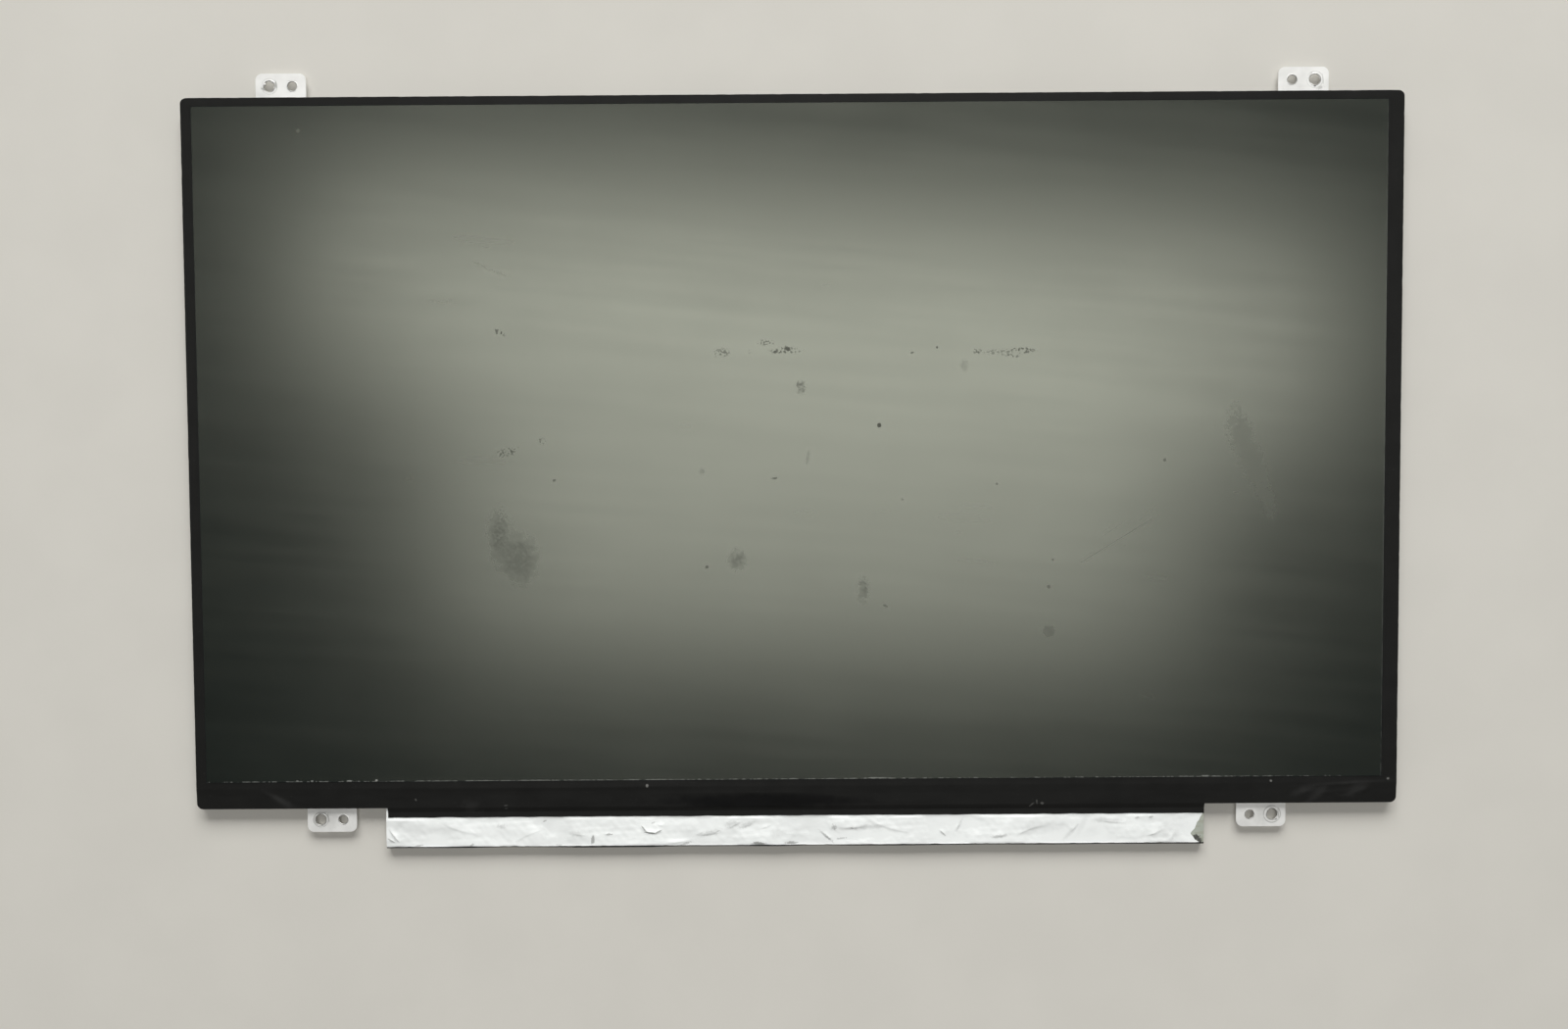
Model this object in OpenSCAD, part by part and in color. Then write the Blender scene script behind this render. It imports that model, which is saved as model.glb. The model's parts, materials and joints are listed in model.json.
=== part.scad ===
// Slim edge-lit liquid crystal display module for a 14-inch laptop lid, in millimetres.
// +X is right and +Y is up as the viewer sees the screen, and +Z comes out of the screen.
// The module lies on its back: z = 0 is the resting plane, and the origin is under the
// middle of the whole outline, ears and circuit board included.

/* [Module outline] */
// Width over the rim tape
module_w = 320.4; // [310:0.1:335]
// Height over the rim tape, without the ears and the circuit board
module_h = 188; // [180:0.1:200]
// Plan radius of the outer corners
corner_r = 1.6; // [1:0.1:2.4]
// Smallest plan radius of an inner corner
inner_r = 0.4; // [0.2:0.1:0.6]

/* [Back cover] */
// Thickness of the stamped aluminium sheet
cover_t = 0.3; // [0.25:0.01:0.4]
// Top of the cover's upright wall on the left, the top and the right
cover_wall_z = 2.2; // [2.05:0.05:2.3]
// Top of the cover's upright wall along the bottom
cover_low_wall_z = 1.9; // [1.7:0.05:2]
// Distance from the module's edge to the stamped back fields
field_inset = 12; // [8:0.5:20]
// Width of the flat channel between two stamped fields
field_channel = 7; // [4:0.5:12]
// Number of stamped fields side by side
field_count = 3; // [1:1:5]
// Plan radius of a stamped field's corner
field_r = 5; // [2:0.5:8]

/* [Ears] */
// Width of a mounting ear
ear_w = 13.2; // [12:0.1:15]
// Reach of an ear past the module's edge
ear_reach = 6.6; // [6:0.1:9]
// Plan radius of an ear's outer corners
ear_r = 1.7; // [0.8:0.1:2.6]
// Distance from the centre line to the middle of a top ear
ear_top_x = 134.3; // [118:0.1:145]
// Gap between the end of a centred board and a bottom ear
ear_board_gap = 8.5; // [4:0.1:20]
// Height of an ear's underside
ear_z = 1.2; // [1:0.05:1.45]
// Inside radius of the fold between wall and ear
ear_fold_r = 0.2; // [0.1:0.05:0.4]
// Width of the slit between the wall and an ear
ear_slit = 0.4; // [0.2:0.1:1]
// Pitch of the two screw holes in an ear
ear_hole_pitch = 6; // [5.5:0.1:7]
// Distance from the module's edge to the screw holes
ear_hole_out = 3.3; // [3:0.1:4]
// Diameter of the outer screw hole
outer_hole_d = 2.9; // [2:0.1:3.4]
// Diameter of the inner screw hole
inner_hole_d = 2.4; // [2:0.1:3]

/* [Mould frame] */
// Clearance between the frame and the cover's wall
frame_fit = 0.05; // [0.02:0.01:0.1]
// Thickness of the frame's wall
frame_wall = 0.75; // [0.6:0.05:1]
// Width of the ledge under the glass, on three sides
ledge_w = 2.6; // [2.2:0.1:3.4]
// Width of the ledge over the lamps, along the bottom
ledge_low_w = 5.9; // [5:0.1:6.4]
// Thickness of the ledge
ledge_t = 0.6; // [0.4:0.05:0.65]
// Clearance between the frame's flush lip and the cover's wall below it
lip_gap = 0.05; // [0.03:0.01:0.1]
// Length of a snap nub
nub_l = 5; // [3:0.5:8]
// Height of a snap nub
nub_h = 0.45; // [0.3:0.05:0.5]
// Height of a snap nub's underside
nub_z = 1.2; // [1:0.05:1.25]
// Reach of a snap nub into the cover's wall
nub_reach = 0.25; // [0.1:0.05:0.3]
// Clearance round a snap nub in its window
nub_fit = 0.2; // [0.1:0.05:0.25]
// Snap nubs on each short side
nubs_side = 4; // [2:1:6]
// Snap nubs along the top
nubs_top = 6; // [2:1:8]
// Distance from the corners to the first and last snap nub
nub_margin = 16; // [14:1:18]

/* [Backlight sheets] */
// Thickness of the white reflector
reflector_t = 0.2; // [0.15:0.01:0.25]
// Thickness of the light guide
guide_t = 0.6; // [0.55:0.01:0.65]
// Clearance between the light guide and the frame's wall
guide_fit = 0.3; // [0.2:0.05:0.5]
// Length of a lug on the light guide's side
guide_lug_l = 6; // [3:0.5:10]
// Reach of a lug on the light guide's side
guide_lug = 0.45; // [0.35:0.05:0.55]
// Distance of the lugs from the middle of the module
guide_lug_y = 58; // [30:1:70]
// Thickness of the lower diffuser
diffuser_t = 0.12; // [0.1:0.01:0.14]
// Thickness of each prism sheet
prism_t = 0.15; // [0.12:0.01:0.17]
// Thickness of the upper diffuser
top_diffuser_t = 0.1; // [0.08:0.01:0.12]
// Clearance between the sheets and the ledge
sheet_fit = 0.2; // [0.1:0.05:0.4]
// Width of a hanging tab on the sheets
tab_w = 10; // [6:0.5:14]
// Reach of a hanging tab
tab_reach = 1.3; // [0.8:0.1:1.5]
// Distance between the hanging tabs
tab_pitch = 110; // [60:1:130]
// Number of hanging tabs
tab_count = 3; // [1:2:3]

/* [Lamps] */
// Number of lamps
led_count = 40; // [30:1:44]
// Length of a lamp
led_l = 3.8; // [3:0.1:4.5]
// Depth of a lamp
led_d = 1; // [0.8:0.1:1.1]
// Height of a lamp
led_h = 0.6; // [0.5:0.05:0.65]
// Clearance between a lamp and the frame's wall
led_back_gap = 0.3; // [0.2:0.05:0.4]
// Clearance between a lamp and the light guide
led_gap = 0.1; // [0.05:0.05:0.2]
// Wall of a lamp round its window
led_wall = 0.1; // [0.06:0.01:0.14]
// Depth of a lamp's window
led_window_d = 0.5; // [0.3:0.05:0.6]
// Distance from the frame's wall to the first and last lamp
led_margin = 5; // [4:0.5:8]
// Thickness of the lamps' flexible circuit
flex_t = 0.12; // [0.08:0.01:0.15]
// Width of the lamps' flexible circuit
flex_w = 2.7; // [2.4:0.1:3.2]
// Clearance between the flexible circuit and the reflector
flex_fit = 0.2; // [0.1:0.05:0.4]
// Width of the flexible circuit's tail
tail_w = 8; // [5:0.5:10]
// Clearance round the tail where it leaves the frame
tail_fit = 0.1; // [0.05:0.01:0.15]

/* [Panel] */
// Thickness of the black adhesive frame under the glass
adhesive_t = 0.1; // [0.05:0.01:0.15]
// Distance from an edge to the adhesive frame
adhesive_inset = 0.3; // [0.2:0.05:0.5]
// Thickness of the transistor glass
tft_t = 0.4; // [0.3:0.05:0.5]
// Thickness of the colour filter glass
filter_t = 0.4; // [0.3:0.05:0.5]
// Thickness of each polarizer
polarizer_t = 0.2; // [0.12:0.01:0.24]
// Clearance between the upper diffuser and the rear polarizer
sheet_gap = 0.08; // [0.05:0.01:0.12]
// Clearance between the glass and the frame's wall
glass_gap = 0.4; // [0.2:0.05:0.6]
// Distance from the module's lower edge to the colour filter glass
filter_low = 5.5; // [5:0.1:6]
// Black border left of the front polarizer
rim_left = 2.85; // [2.4:0.05:5]
// Black border right of the front polarizer
rim_right = 4.2; // [2.4:0.05:6]
// Black border above the front polarizer
rim_top = 2.3; // [2:0.05:5]
// Black border below the front polarizer
rim_low = 7.3; // [6.5:0.05:9]
// Gap between the front polarizer and the tape round it
rim_gap = 0.15; // [0.05:0.05:0.3]

/* [Glass drivers] */
// Number of driver chips on the glass
driver_count = 4; // [2:1:5]
// Distance between driver chips
driver_pitch = 54; // [42:1:54]
// Length of a driver chip
driver_l = 22; // [14:1:28]
// Width of a driver chip
driver_w = 1; // [0.6:0.1:1.2]
// Height of a driver chip
driver_h = 0.26; // [0.15:0.01:0.32]
// Distance from the colour filter glass to the driver chips
driver_gap = 0.9; // [0.5:0.1:1]
// Width of a bonding film
film_w = 27; // [20:1:36]
// Thickness of a bonding film
film_t = 0.08; // [0.05:0.01:0.09]
// Length of film bonded to the glass
film_on_glass = 1.2; // [0.8:0.1:1.5]
// Length of film bonded to the board
film_on_board = 1; // [0.6:0.1:1.1]
// Clearance round a film in its notch in the frame
film_fit = 0.3; // [0.1:0.1:1]

/* [Circuit board] */
// Width of the circuit board
board_w = 219; // [210:0.5:222]
// Offset of the board's middle from the centre line
board_x = -0.35; // [-1:0.05:1]
// Reach of the board's film past the module's lower edge
board_drop = 10.75; // [10.5:0.05:13]
// Thickness of the circuit board
board_t = 0.6; // [0.5:0.05:0.65]
// Step from the glass down to the board
board_step = 0.4; // [0.35:0.05:0.5]
// Gap between the module and the board
board_gap = 0.2; // [0.1:0.05:0.3]
// Plan radius of the board's corners
board_r = 0.5; // [0.2:0.1:1]
// Distance from the board's upper edge to the middle of the parts on it
parts_y = 5.2; // [5:0.1:5.4]

/* [Board parts] */
// Side of the timing chip
timing_side = 7; // [5:0.5:7.5]
// Height of the timing chip
timing_h = 0.8; // [0.6:0.05:1]
// Side of a power chip
power_side = 4; // [3:0.5:4.5]
// Height of a power chip
power_h = 0.75; // [0.5:0.05:0.9]
// Number of power chips
power_count = 2; // [1:1:2]
// Length of the memory chip
memory_l = 3; // [2:0.1:3.5]
// Width of the memory chip
memory_w = 2; // [1.5:0.1:3]
// Height of the memory chip
memory_h = 0.6; // [0.4:0.05:0.8]
// Side of a power inductor
inductor_side = 4.2; // [3:0.1:4.6]
// Height of a power inductor
inductor_h = 1; // [0.7:0.05:1.05]
// Distance from a power chip to its inductor
inductor_away = 8; // [7.5:0.5:9]
// Diameter of an inductor's wound middle
inductor_core_d = 3.4; // [2.4:0.1:3.5]
// Thickness of an inductor's winding window
inductor_window = 0.4; // [0.2:0.05:0.5]
// Capacitors beside each power chip
capacitor_count = 4; // [1:1:4]
// Length of a capacitor
capacitor_l = 2; // [1.2:0.1:2.2]
// Width of a capacitor
capacitor_w = 1.25; // [0.8:0.05:1.4]
// Height of a capacitor
capacitor_h = 0.85; // [0.5:0.05:1]
// Distance between neighbouring capacitors
capacitor_pitch = 1.9; // [1.8:0.1:2]
// Distance from a power chip to its capacitors
capacitor_away = 6; // [5.5:0.1:6.2]
// Resistors in the row beside the timing chip
resistor_count = 12; // [4:1:14]
// Length of a resistor
resistor_l = 1; // [0.6:0.1:1.6]
// Width of a resistor
resistor_w = 0.5; // [0.3:0.05:0.8]
// Height of a resistor
resistor_h = 0.35; // [0.2:0.05:0.45]
// Distance between neighbouring resistors
resistor_pitch = 1.5; // [1.2:0.1:1.6]
// Distance from the timing chip's middle to the first resistor
resistor_away = 8; // [6:0.5:10]
// Distance between the two rows of resistors
resistor_rows = 4; // [3:0.1:5]
// Length of the rectifier diode
diode_l = 2.6; // [1.6:0.1:3]
// Width of the rectifier diode
diode_w = 1.6; // [1:0.1:2.2]
// Height of the rectifier diode
diode_h = 0.9; // [0.6:0.05:1]
// Distance from the last power chip to the diode
diode_away = 13; // [12.5:0.5:13.5]

/* [Lamp connector] */
// Width of the lamp connector
lamp_socket_w = 11; // [10.5:0.5:13]
// Depth of the lamp connector
lamp_socket_d = 3.2; // [2.8:0.1:3.6]
// Height of the lamp connector
lamp_socket_h = 0.9; // [0.8:0.05:1]
// Distance from the board's right end to the lamp connector's middle
lamp_socket_x = 13; // [12:0.5:14]
// Distance from the board's upper edge to the lamp connector
lamp_socket_y = 3; // [2.8:0.1:4]
// Depth of the slot that takes the tail
lamp_slot_d = 1.3; // [0.8:0.1:1.6]
// Thickness of the latch bar on the lamp connector
lamp_latch_t = 0.25; // [0.15:0.05:0.3]

/* [Signal socket] */
// Number of contacts
contact_count = 30; // [20:1:34]
// Pitch of the contacts
contact_pitch = 0.5; // [0.4:0.05:0.55]
// Width of a contact
contact_w = 0.22; // [0.15:0.01:0.26]
// Thickness of a contact
contact_t = 0.1; // [0.06:0.01:0.12]
// Length of a contact's solder foot behind the socket
contact_foot = 0.7; // [0.4:0.1:1.2]
// Distance from the board's left end to the socket's middle
socket_x = 31; // [30:0.5:36]
// Plastic left at each end of the row of contacts
socket_end = 1.9; // [1.5:0.1:2.4]
// Depth of the socket
socket_d = 4; // [3.2:0.1:4.6]
// Height of the socket's plastic body
socket_h = 0.92; // [0.85:0.01:1]
// Height of the socket's mouth
mouth_h = 0.42; // [0.3:0.01:0.48]
// Depth of the socket's mouth
mouth_d = 2.6; // [1.8:0.1:2.8]
// Plastic left at each end of the mouth
mouth_end = 1; // [0.8:0.1:1.2]
// Distance from the film's lower edge to the socket's mouth
socket_back = 0.9; // [0.5:0.1:1.4]
// Thickness of the socket's metal shell
shell_t = 0.12; // [0.08:0.01:0.15]
// Length of a solder tab on the shell
shell_tab = 1.4; // [0.8:0.1:2]

/* [Tapes and films] */
// Thickness of the black tape
tape_t = 0.1; // [0.06:0.01:0.12]
// Width of the tape that laps onto the back
tape_lap = 4; // [2:0.5:6]
// Reach of the lower tape over the board
tape_over = 2.7; // [2.4:0.1:3.2]
// Clearance between the tape and an ear
tape_ear_fit = 0.3; // [0.1:0.1:0.8]
// Thickness of the aluminium foil tape
foil_t = 0.08; // [0.05:0.01:0.09]
// Foil hidden under the lower tape
foil_under = 0.5; // [0.3:0.1:0.8]
// Width of the foil's strip beside the end of the lower tape
foil_wing = 0.5; // [0.3:0.1:1]
// Depth of the foil's torn right end
foil_tear = 3.4; // [1.5:0.1:5]
// Height of the foil's tallest crease
foil_crease = 0.3; // [0.1:0.02:0.4]
// Width of a crease's steep side
crease_steep = 0.5; // [0.2:0.1:0.8]
// Width of a crease's gentle side
crease_gentle = 1.5; // [0.8:0.1:2]
// Flat margin along the foil's edges
crease_margin = 0.4; // [0.2:0.1:0.8]
// Thickness of the black film behind the board
board_film_t = 0.1; // [0.06:0.01:0.12]
// Length of the stretch where the black film stands proud of the foil
film_bulge_l = 24; // [10:1:40]
// Reach of that stretch
film_bulge = 0.35; // [0.2:0.05:0.6]
// Distance from the board's left end to the middle of that stretch
film_bulge_x = 65; // [62:1:80]
// Clearance between the film's window and the signal socket
film_window_fit = 0.6; // [0.3:0.1:1]

/* [Hidden] */
$fn = 48;
// A cut runs this far past the face that it opens
cut = 0.5;
// Left and right, or lower and upper
sides = [-1, 1];

// Plan: the module's own edges, with the whole outline centred on the origin
shift_y = (board_drop + film_bulge - ear_reach) / 2;
west = -module_w / 2;
east = module_w / 2;
south = shift_y - module_h / 2;
north = shift_y + module_h / 2;

// Insets from the module's edge, from the outside in
cover_in = tape_t;
cover_inner_in = cover_in + cover_t;
frame_in = cover_inner_in + frame_fit;
frame_inner_in = frame_in + frame_wall;
glass_in = frame_inner_in + glass_gap;
guide_in = frame_inner_in + guide_fit;
ledge_in = frame_inner_in + ledge_w;
ledge_low_in = frame_inner_in + ledge_low_w;

// Heights, from the resting plane up
cover_z = tape_t;
floor_z = cover_z + cover_t;
guide_z = floor_z + reflector_t;
diffuser_z = guide_z + guide_t;
lower_prism_z = diffuser_z + diffuser_t;
upper_prism_z = lower_prism_z + prism_t;
top_diffuser_z = upper_prism_z + prism_t;
sheets_top_z = top_diffuser_z + top_diffuser_t;
rear_polarizer_z = sheets_top_z + sheet_gap;
glass_z = rear_polarizer_z + polarizer_t;
ledge_z = glass_z - adhesive_t;
filter_z = glass_z + tft_t;
face_z = filter_z + filter_t;
chip_top_z = filter_z + driver_h;
film_top_z = filter_z + film_t;
lip_low_z = filter_z + tape_t;
board_top_z = filter_z - board_step;
board_z = board_top_z - board_t;
ear_top_z = ear_z + cover_t;
ear_low_x = board_w / 2 + ear_board_gap + ear_w / 2;
// The stamped fields stand out as far as the tape round them
field_depth = tape_t;

// The front polarizer's edges
screen_west = west + rim_left;
screen_east = east - rim_right;
screen_south = south + rim_low;
screen_north = north - rim_top;
// The rim tape ends and the lower tape starts on this line
tape_split_y = screen_south - rim_gap;

// The board's edges
board_west = board_x - board_w / 2;
board_east = board_x + board_w / 2;
board_north = south - board_gap;
film_south = south - board_drop;
board_south = film_south + board_film_t;
parts_line_y = board_north - parts_y;

// The lower border's section, from the screen down to the module's edge
filter_south = south + filter_low;
chips_north = filter_south - driver_gap;
chips_south = chips_north - driver_w;
glass_south = south + glass_in;
wall_south = south + tape_t;
film_foot_y = board_north - 2 * board_step;
tape_foot_y = film_foot_y - 2 * film_t;

// Lamps and their flexible circuit
led_south = south + frame_inner_in + led_back_gap;
guide_south = led_south + led_d + led_gap;
flex_south = south + frame_inner_in + led_back_gap / 2;
flex_north = flex_south + flex_w;
led_z = floor_z + flex_t;
led_span = module_w - 2 * (frame_inner_in + led_margin);
tail_x = board_east - lamp_socket_x;
lamp_socket_z = board_z - lamp_socket_h;
lamp_socket_north = board_north - lamp_socket_y;
tail_end_z = lamp_socket_z + lamp_socket_h / 2;

// The foil's creases: distance from the board's middle and from its lower edge, length, share of
// the tallest crease's height, turn, and bow
foil_top_z = board_top_z + foil_t;
foil_creases = [
    [-107, 2.4, 4.6, 0.6, -48, 0.5], [-90.6, 4.4, 12, 0.4, -20, 0.6], [-71.6, 3.2, 10, 0.4, 24, -0.5],
    [-38.5, 3.6, 6.4, 1, 0, -1.1], [-23.4, 2.8, 8, 0.6, 10, -0.4], [-15.8, 5, 5, 0.6, 28, 0.3],
    [-7.6, 4.6, 5, 0.4, 20, 0.3], [5.8, 3.2, 3.2, 0.7, -52, 0.2], [13, 4.8, 8, 0.6, 6, 0.4],
    [25.4, 4.4, 12, 0.5, -14, -0.8], [38.8, 2.8, 3.6, 0.6, -38, 0.1], [44, 4, 4.4, 0.6, 42, 0.2],
    [61, 2.8, 9, 0.4, 12, 0.6], [75, 4, 7, 0.7, 44, 0.5], [86, 5, 8, 0.5, -8, 0.4],
    [96.4, 2.8, 5, 0.6, 32, 0.3]
];

// Signal socket
socket_mid_x = board_west + socket_x;
contacts_l = (contact_count - 1) * contact_pitch;
socket_w = contacts_l + 2 * (socket_end + mouth_end);
mouth_w = socket_w - 2 * mouth_end;
socket_south = film_south + socket_back;
socket_z = board_z - socket_h;
mouth_z = socket_z + (socket_h - mouth_h) / 2;

// The parts on the board, spread evenly from the signal socket to the lamp connector
stations = ["signal socket", "memory", "timing", "resistors", "power", "more power", "lamp connector"];
function station_x(name, further = 0) =
    let (i = search([name], stations)[0] + further)
    socket_mid_x + i * (tail_x - socket_mid_x) / (len(stations) - 1);

// Driver chips and their films share these places
function driver_x(i) = board_x + (i - (driver_count - 1) / 2) * driver_pitch;
function led_x(i) = -led_span / 2 + led_l / 2 + i * (led_span - led_l) / (led_count - 1);
function spread(i, count, reach) = count == 1 ? 0 : -reach + 2 * reach * i / (count - 1);
function arc(cx, cy, r, from, to, steps = 6) =
    [for (i = [0:steps]) let (a = from + (to - from) * i / steps) [cx + r * cos(a), cy + r * sin(a)]];

// Rounded rectangle from its four edges
module rounded(left, right, low, high, r) {
    translate([left + r, low])
        square([right - left - 2 * r, high - low]);
    translate([left, low + r])
        square([right - left, high - low - 2 * r]);
    for (x = [left + r, right - r], y = [low + r, high - r])
        translate([x, y])
            circle(r);
}

// The module's outline, moved in by a distance
module outline(inset) {
    rounded(west + inset, east - inset, south + inset, north - inset, max(corner_r - inset, inner_r));
}

// Box from its lowest and highest corner
module block(low, high) {
    translate(low)
        cube(high - low);
}

// Upright slab of the plan shape between two heights
module slab(z0, z1) {
    translate([0, 0, z0])
        linear_extrude(z1 - z0)
            children();
}

// A section drawn in Y and Z, drawn out along X
module drawn(x0, x1, points) {
    translate([x0, 0, 0])
        rotate([90, 0, 90])
            linear_extrude(x1 - x0)
                polygon(points);
}

// Places its children at each ear, seen with the module's edge on y = 0 and the ear towards +Y
module at_ears() {
    for (s = sides) {
        translate([s * ear_top_x, north, 0])
            mirror([s < 0 ? 1 : 0, 0, 0])
                children();
        translate([s * ear_low_x, south, 0])
            mirror([0, 1, 0])
                mirror([s < 0 ? 1 : 0, 0, 0])
                    children();
    }
}

// Places its children at each snap nub, with the frame's outer face on y = 0
module at_nubs() {
    for (i = [0:nubs_side - 1], s = sides)
        translate([s * (east - frame_in), shift_y + spread(i, nubs_side, module_h / 2 - nub_margin), 0])
            rotate(-s * 90)
                children();
    for (i = [0:nubs_top - 1])
        translate([spread(i, nubs_top, ear_top_x - nub_margin), north - frame_in, 0])
            children();
}

// Fold of the cover's sheet from its wall out into an ear, with the two screw holes
module ear() {
    wall_y = -cover_in;
    fold_y = wall_y + ear_fold_r;
    fold_z = ear_z - ear_fold_r;
    section = concat(
        [[wall_y, cover_z]],
        arc(fold_y, fold_z, ear_fold_r, 180, 90),
        [[ear_reach, ear_z], [ear_reach, ear_top_z]],
        arc(fold_y, fold_z, ear_fold_r + cover_t, 90, 180),
        [[wall_y - cover_t, cover_z]]
    );
    difference() {
        intersection() {
            drawn(-ear_w / 2, ear_w / 2, section);
            slab(0, ear_top_z + cut)
                rounded(-ear_w / 2, ear_w / 2, -cover_inner_in - 2 * ear_r, ear_reach, ear_r);
        }
        translate([ear_hole_pitch / 2, ear_hole_out, ear_z - cut])
            cylinder(h = cover_t + 2 * cut, d = outer_hole_d);
        translate([-ear_hole_pitch / 2, ear_hole_out, ear_z - cut])
            cylinder(h = cover_t + 2 * cut, d = inner_hole_d);
    }
}

// Stamped fields of the back, moved in by a distance
module back_fields(inset) {
    fields_w = module_w - 2 * field_inset;
    pitch = (fields_w + field_channel) / field_count;
    for (i = [0:field_count - 1]) {
        left = west + field_inset + i * pitch;
        rounded(
            left + inset, left + pitch - field_channel - inset,
            south + field_inset + inset, north - field_inset - inset, field_r - inset
        );
    }
}

module back_cover() {
    color("silver") {
        difference() {
            union() {
                slab(cover_z, floor_z)
                    outline(cover_in);
                slab(cover_z - field_depth, cover_z)
                    back_fields(0);
            }
            slab(floor_z - field_depth, floor_z + cut)
                back_fields(cover_t);
        }
        difference() {
            slab(floor_z, cover_wall_z)
                difference() {
                    outline(cover_in);
                    outline(cover_inner_in);
                }
            block([west, south - cut, cover_low_wall_z], [east, south + corner_r, cover_wall_z + cut]);
            at_ears()
                block(
                    [-ear_w / 2 - ear_slit, -cover_inner_in - ear_slit, floor_z],
                    [ear_w / 2 + ear_slit, cut, cover_wall_z + cut]
                );
            at_nubs()
                block(
                    [-nub_l / 2 - nub_fit, -cut, nub_z - nub_fit],
                    [nub_l / 2 + nub_fit, frame_fit + cover_t + cut, nub_z + nub_h + nub_fit]
                );
            tail_opening();
        }
        at_ears()
            ear();
    }
}

// Way out for the flexible circuit's tail, through the frame and the cover
module tail_opening() {
    block(
        [tail_x - tail_w / 2 - tail_fit, south - cut, floor_z],
        [tail_x + tail_w / 2 + tail_fit, flex_south + cut, floor_z + flex_t + tail_fit]
    );
}

// Everything above the lower tape's underside, for cutting the frame below it
module above_lower_tape() {
    drawn(
        west - cut, east + cut,
        [
            [filter_south, face_z + cut], [filter_south, face_z], [chips_south, chip_top_z],
            [wall_south, lip_low_z], [south - cut, lip_low_z], [south - cut, face_z + cut]
        ]
    );
}

module mould_frame() {
    color("gainsboro")
        difference() {
            union() {
                // Wall that stands in the cover
                slab(floor_z, face_z)
                    difference() {
                        outline(frame_in);
                        outline(frame_inner_in);
                    }
                // Lip above the cover's wall, flush with its outside
                slab(cover_wall_z + lip_gap, face_z)
                    difference() {
                        outline(cover_in);
                        outline(frame_in + frame_wall / 2);
                    }
                difference() {
                    slab(cover_low_wall_z + lip_gap, face_z)
                        difference() {
                            outline(cover_in);
                            outline(frame_in + frame_wall / 2);
                        }
                    block([west, south + corner_r, 0], [east, north, face_z + cut]);
                }
                // Ledge that carries the glass
                slab(ledge_z - ledge_t, ledge_z)
                    difference() {
                        outline(frame_in + frame_wall / 2);
                        rounded(
                            west + ledge_in, east - ledge_in, south + ledge_low_in, north - ledge_in, inner_r
                        );
                    }
                at_nubs()
                    block([-nub_l / 2, -frame_wall / 2, nub_z], [nub_l / 2, nub_reach, nub_z + nub_h]);
            }
            above_lower_tape();
            // Notches for the sheets' tabs
            for (i = [0:tab_count - 1])
                block(
                    [tab_x(i) - tab_w / 2 - sheet_fit, north - ledge_in - cut, ledge_z - ledge_t - cut],
                    [tab_x(i) + tab_w / 2 + sheet_fit, north - ledge_in + tab_reach, ledge_z + cut]
                );
            // Pockets for the light guide's lugs
            for (s = sides, t = sides)
                block(
                    [
                        s > 0 ? 0 : west + frame_inner_in - guide_lug + guide_fit / 2,
                        shift_y + t * guide_lug_y - guide_lug_l / 2 - guide_fit, floor_z - cut
                    ],
                    [
                        s > 0 ? east - frame_inner_in + guide_lug - guide_fit / 2 : 0,
                        shift_y + t * guide_lug_y + guide_lug_l / 2 + guide_fit, ledge_z - ledge_t
                    ]
                );
            // Notches for the bonding films
            for (i = [0:driver_count - 1])
                block(
                    [driver_x(i) - film_w / 2 - film_fit, south - cut, filter_z],
                    [driver_x(i) + film_w / 2 + film_fit, glass_south + cut, face_z]
                );
            tail_opening();
        }
}

function tab_x(i) = spread(i, tab_count, tab_pitch * (tab_count - 1) / 2);

// Sheet that hangs by its tabs in the frame's window
module window_sheet(z, thickness) {
    slab(z, z + thickness) {
        rounded(
            west + ledge_in + sheet_fit, east - ledge_in - sheet_fit,
            south + ledge_low_in + sheet_fit, north - ledge_in - sheet_fit, inner_r
        );
        for (i = [0:tab_count - 1])
            translate([tab_x(i) - tab_w / 2, north - ledge_in - sheet_fit - inner_r])
                square([tab_w, tab_reach + inner_r]);
    }
}

module reflector_sheet() {
    color("white")
        slab(floor_z, guide_z)
            rounded(west + guide_in, east - guide_in, flex_north + flex_fit, north - guide_in, inner_r);
}

module light_guide() {
    color("aliceblue")
        slab(guide_z, diffuser_z) {
            rounded(west + guide_in, east - guide_in, guide_south, north - guide_in, inner_r);
            for (t = sides)
                translate([
                    west + guide_in - guide_lug, shift_y + t * guide_lug_y - guide_lug_l / 2
                ])
                    square([module_w - 2 * (guide_in - guide_lug), guide_lug_l]);
        }
}

module lower_diffuser() {
    color("whitesmoke")
        window_sheet(diffuser_z, diffuser_t);
}

module lower_prism_sheet() {
    color("lightcyan")
        window_sheet(lower_prism_z, prism_t);
}

module upper_prism_sheet() {
    color("lavender")
        window_sheet(upper_prism_z, prism_t);
}

module upper_diffuser() {
    color("ghostwhite")
        window_sheet(top_diffuser_z, top_diffuser_t);
}

module panel_adhesive() {
    color("black")
        slab(ledge_z, glass_z)
            difference() {
                outline(glass_in + adhesive_inset);
                rounded(
                    west + ledge_in - adhesive_inset, east - ledge_in + adhesive_inset,
                    south + ledge_low_in - adhesive_inset, north - ledge_in + adhesive_inset, inner_r
                );
            }
}

module rear_polarizer() {
    color("dimgray")
        slab(rear_polarizer_z, glass_z)
            rounded(
                west + ledge_in + sheet_fit, east - ledge_in - sheet_fit,
                south + ledge_low_in + sheet_fit, north - ledge_in - sheet_fit, inner_r
            );
}

module tft_glass() {
    color("lightslategray")
        slab(glass_z, filter_z)
            rounded(west + glass_in, east - glass_in, glass_south, north - glass_in, inner_r);
}

module colour_filter_glass() {
    color("slategray")
        slab(filter_z, face_z)
            rounded(west + glass_in, east - glass_in, filter_south, north - glass_in, inner_r);
}

module front_polarizer() {
    color("darkslategray")
        slab(face_z, face_z + polarizer_t)
            rounded(screen_west, screen_east, screen_south, screen_north, inner_r);
}

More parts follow.
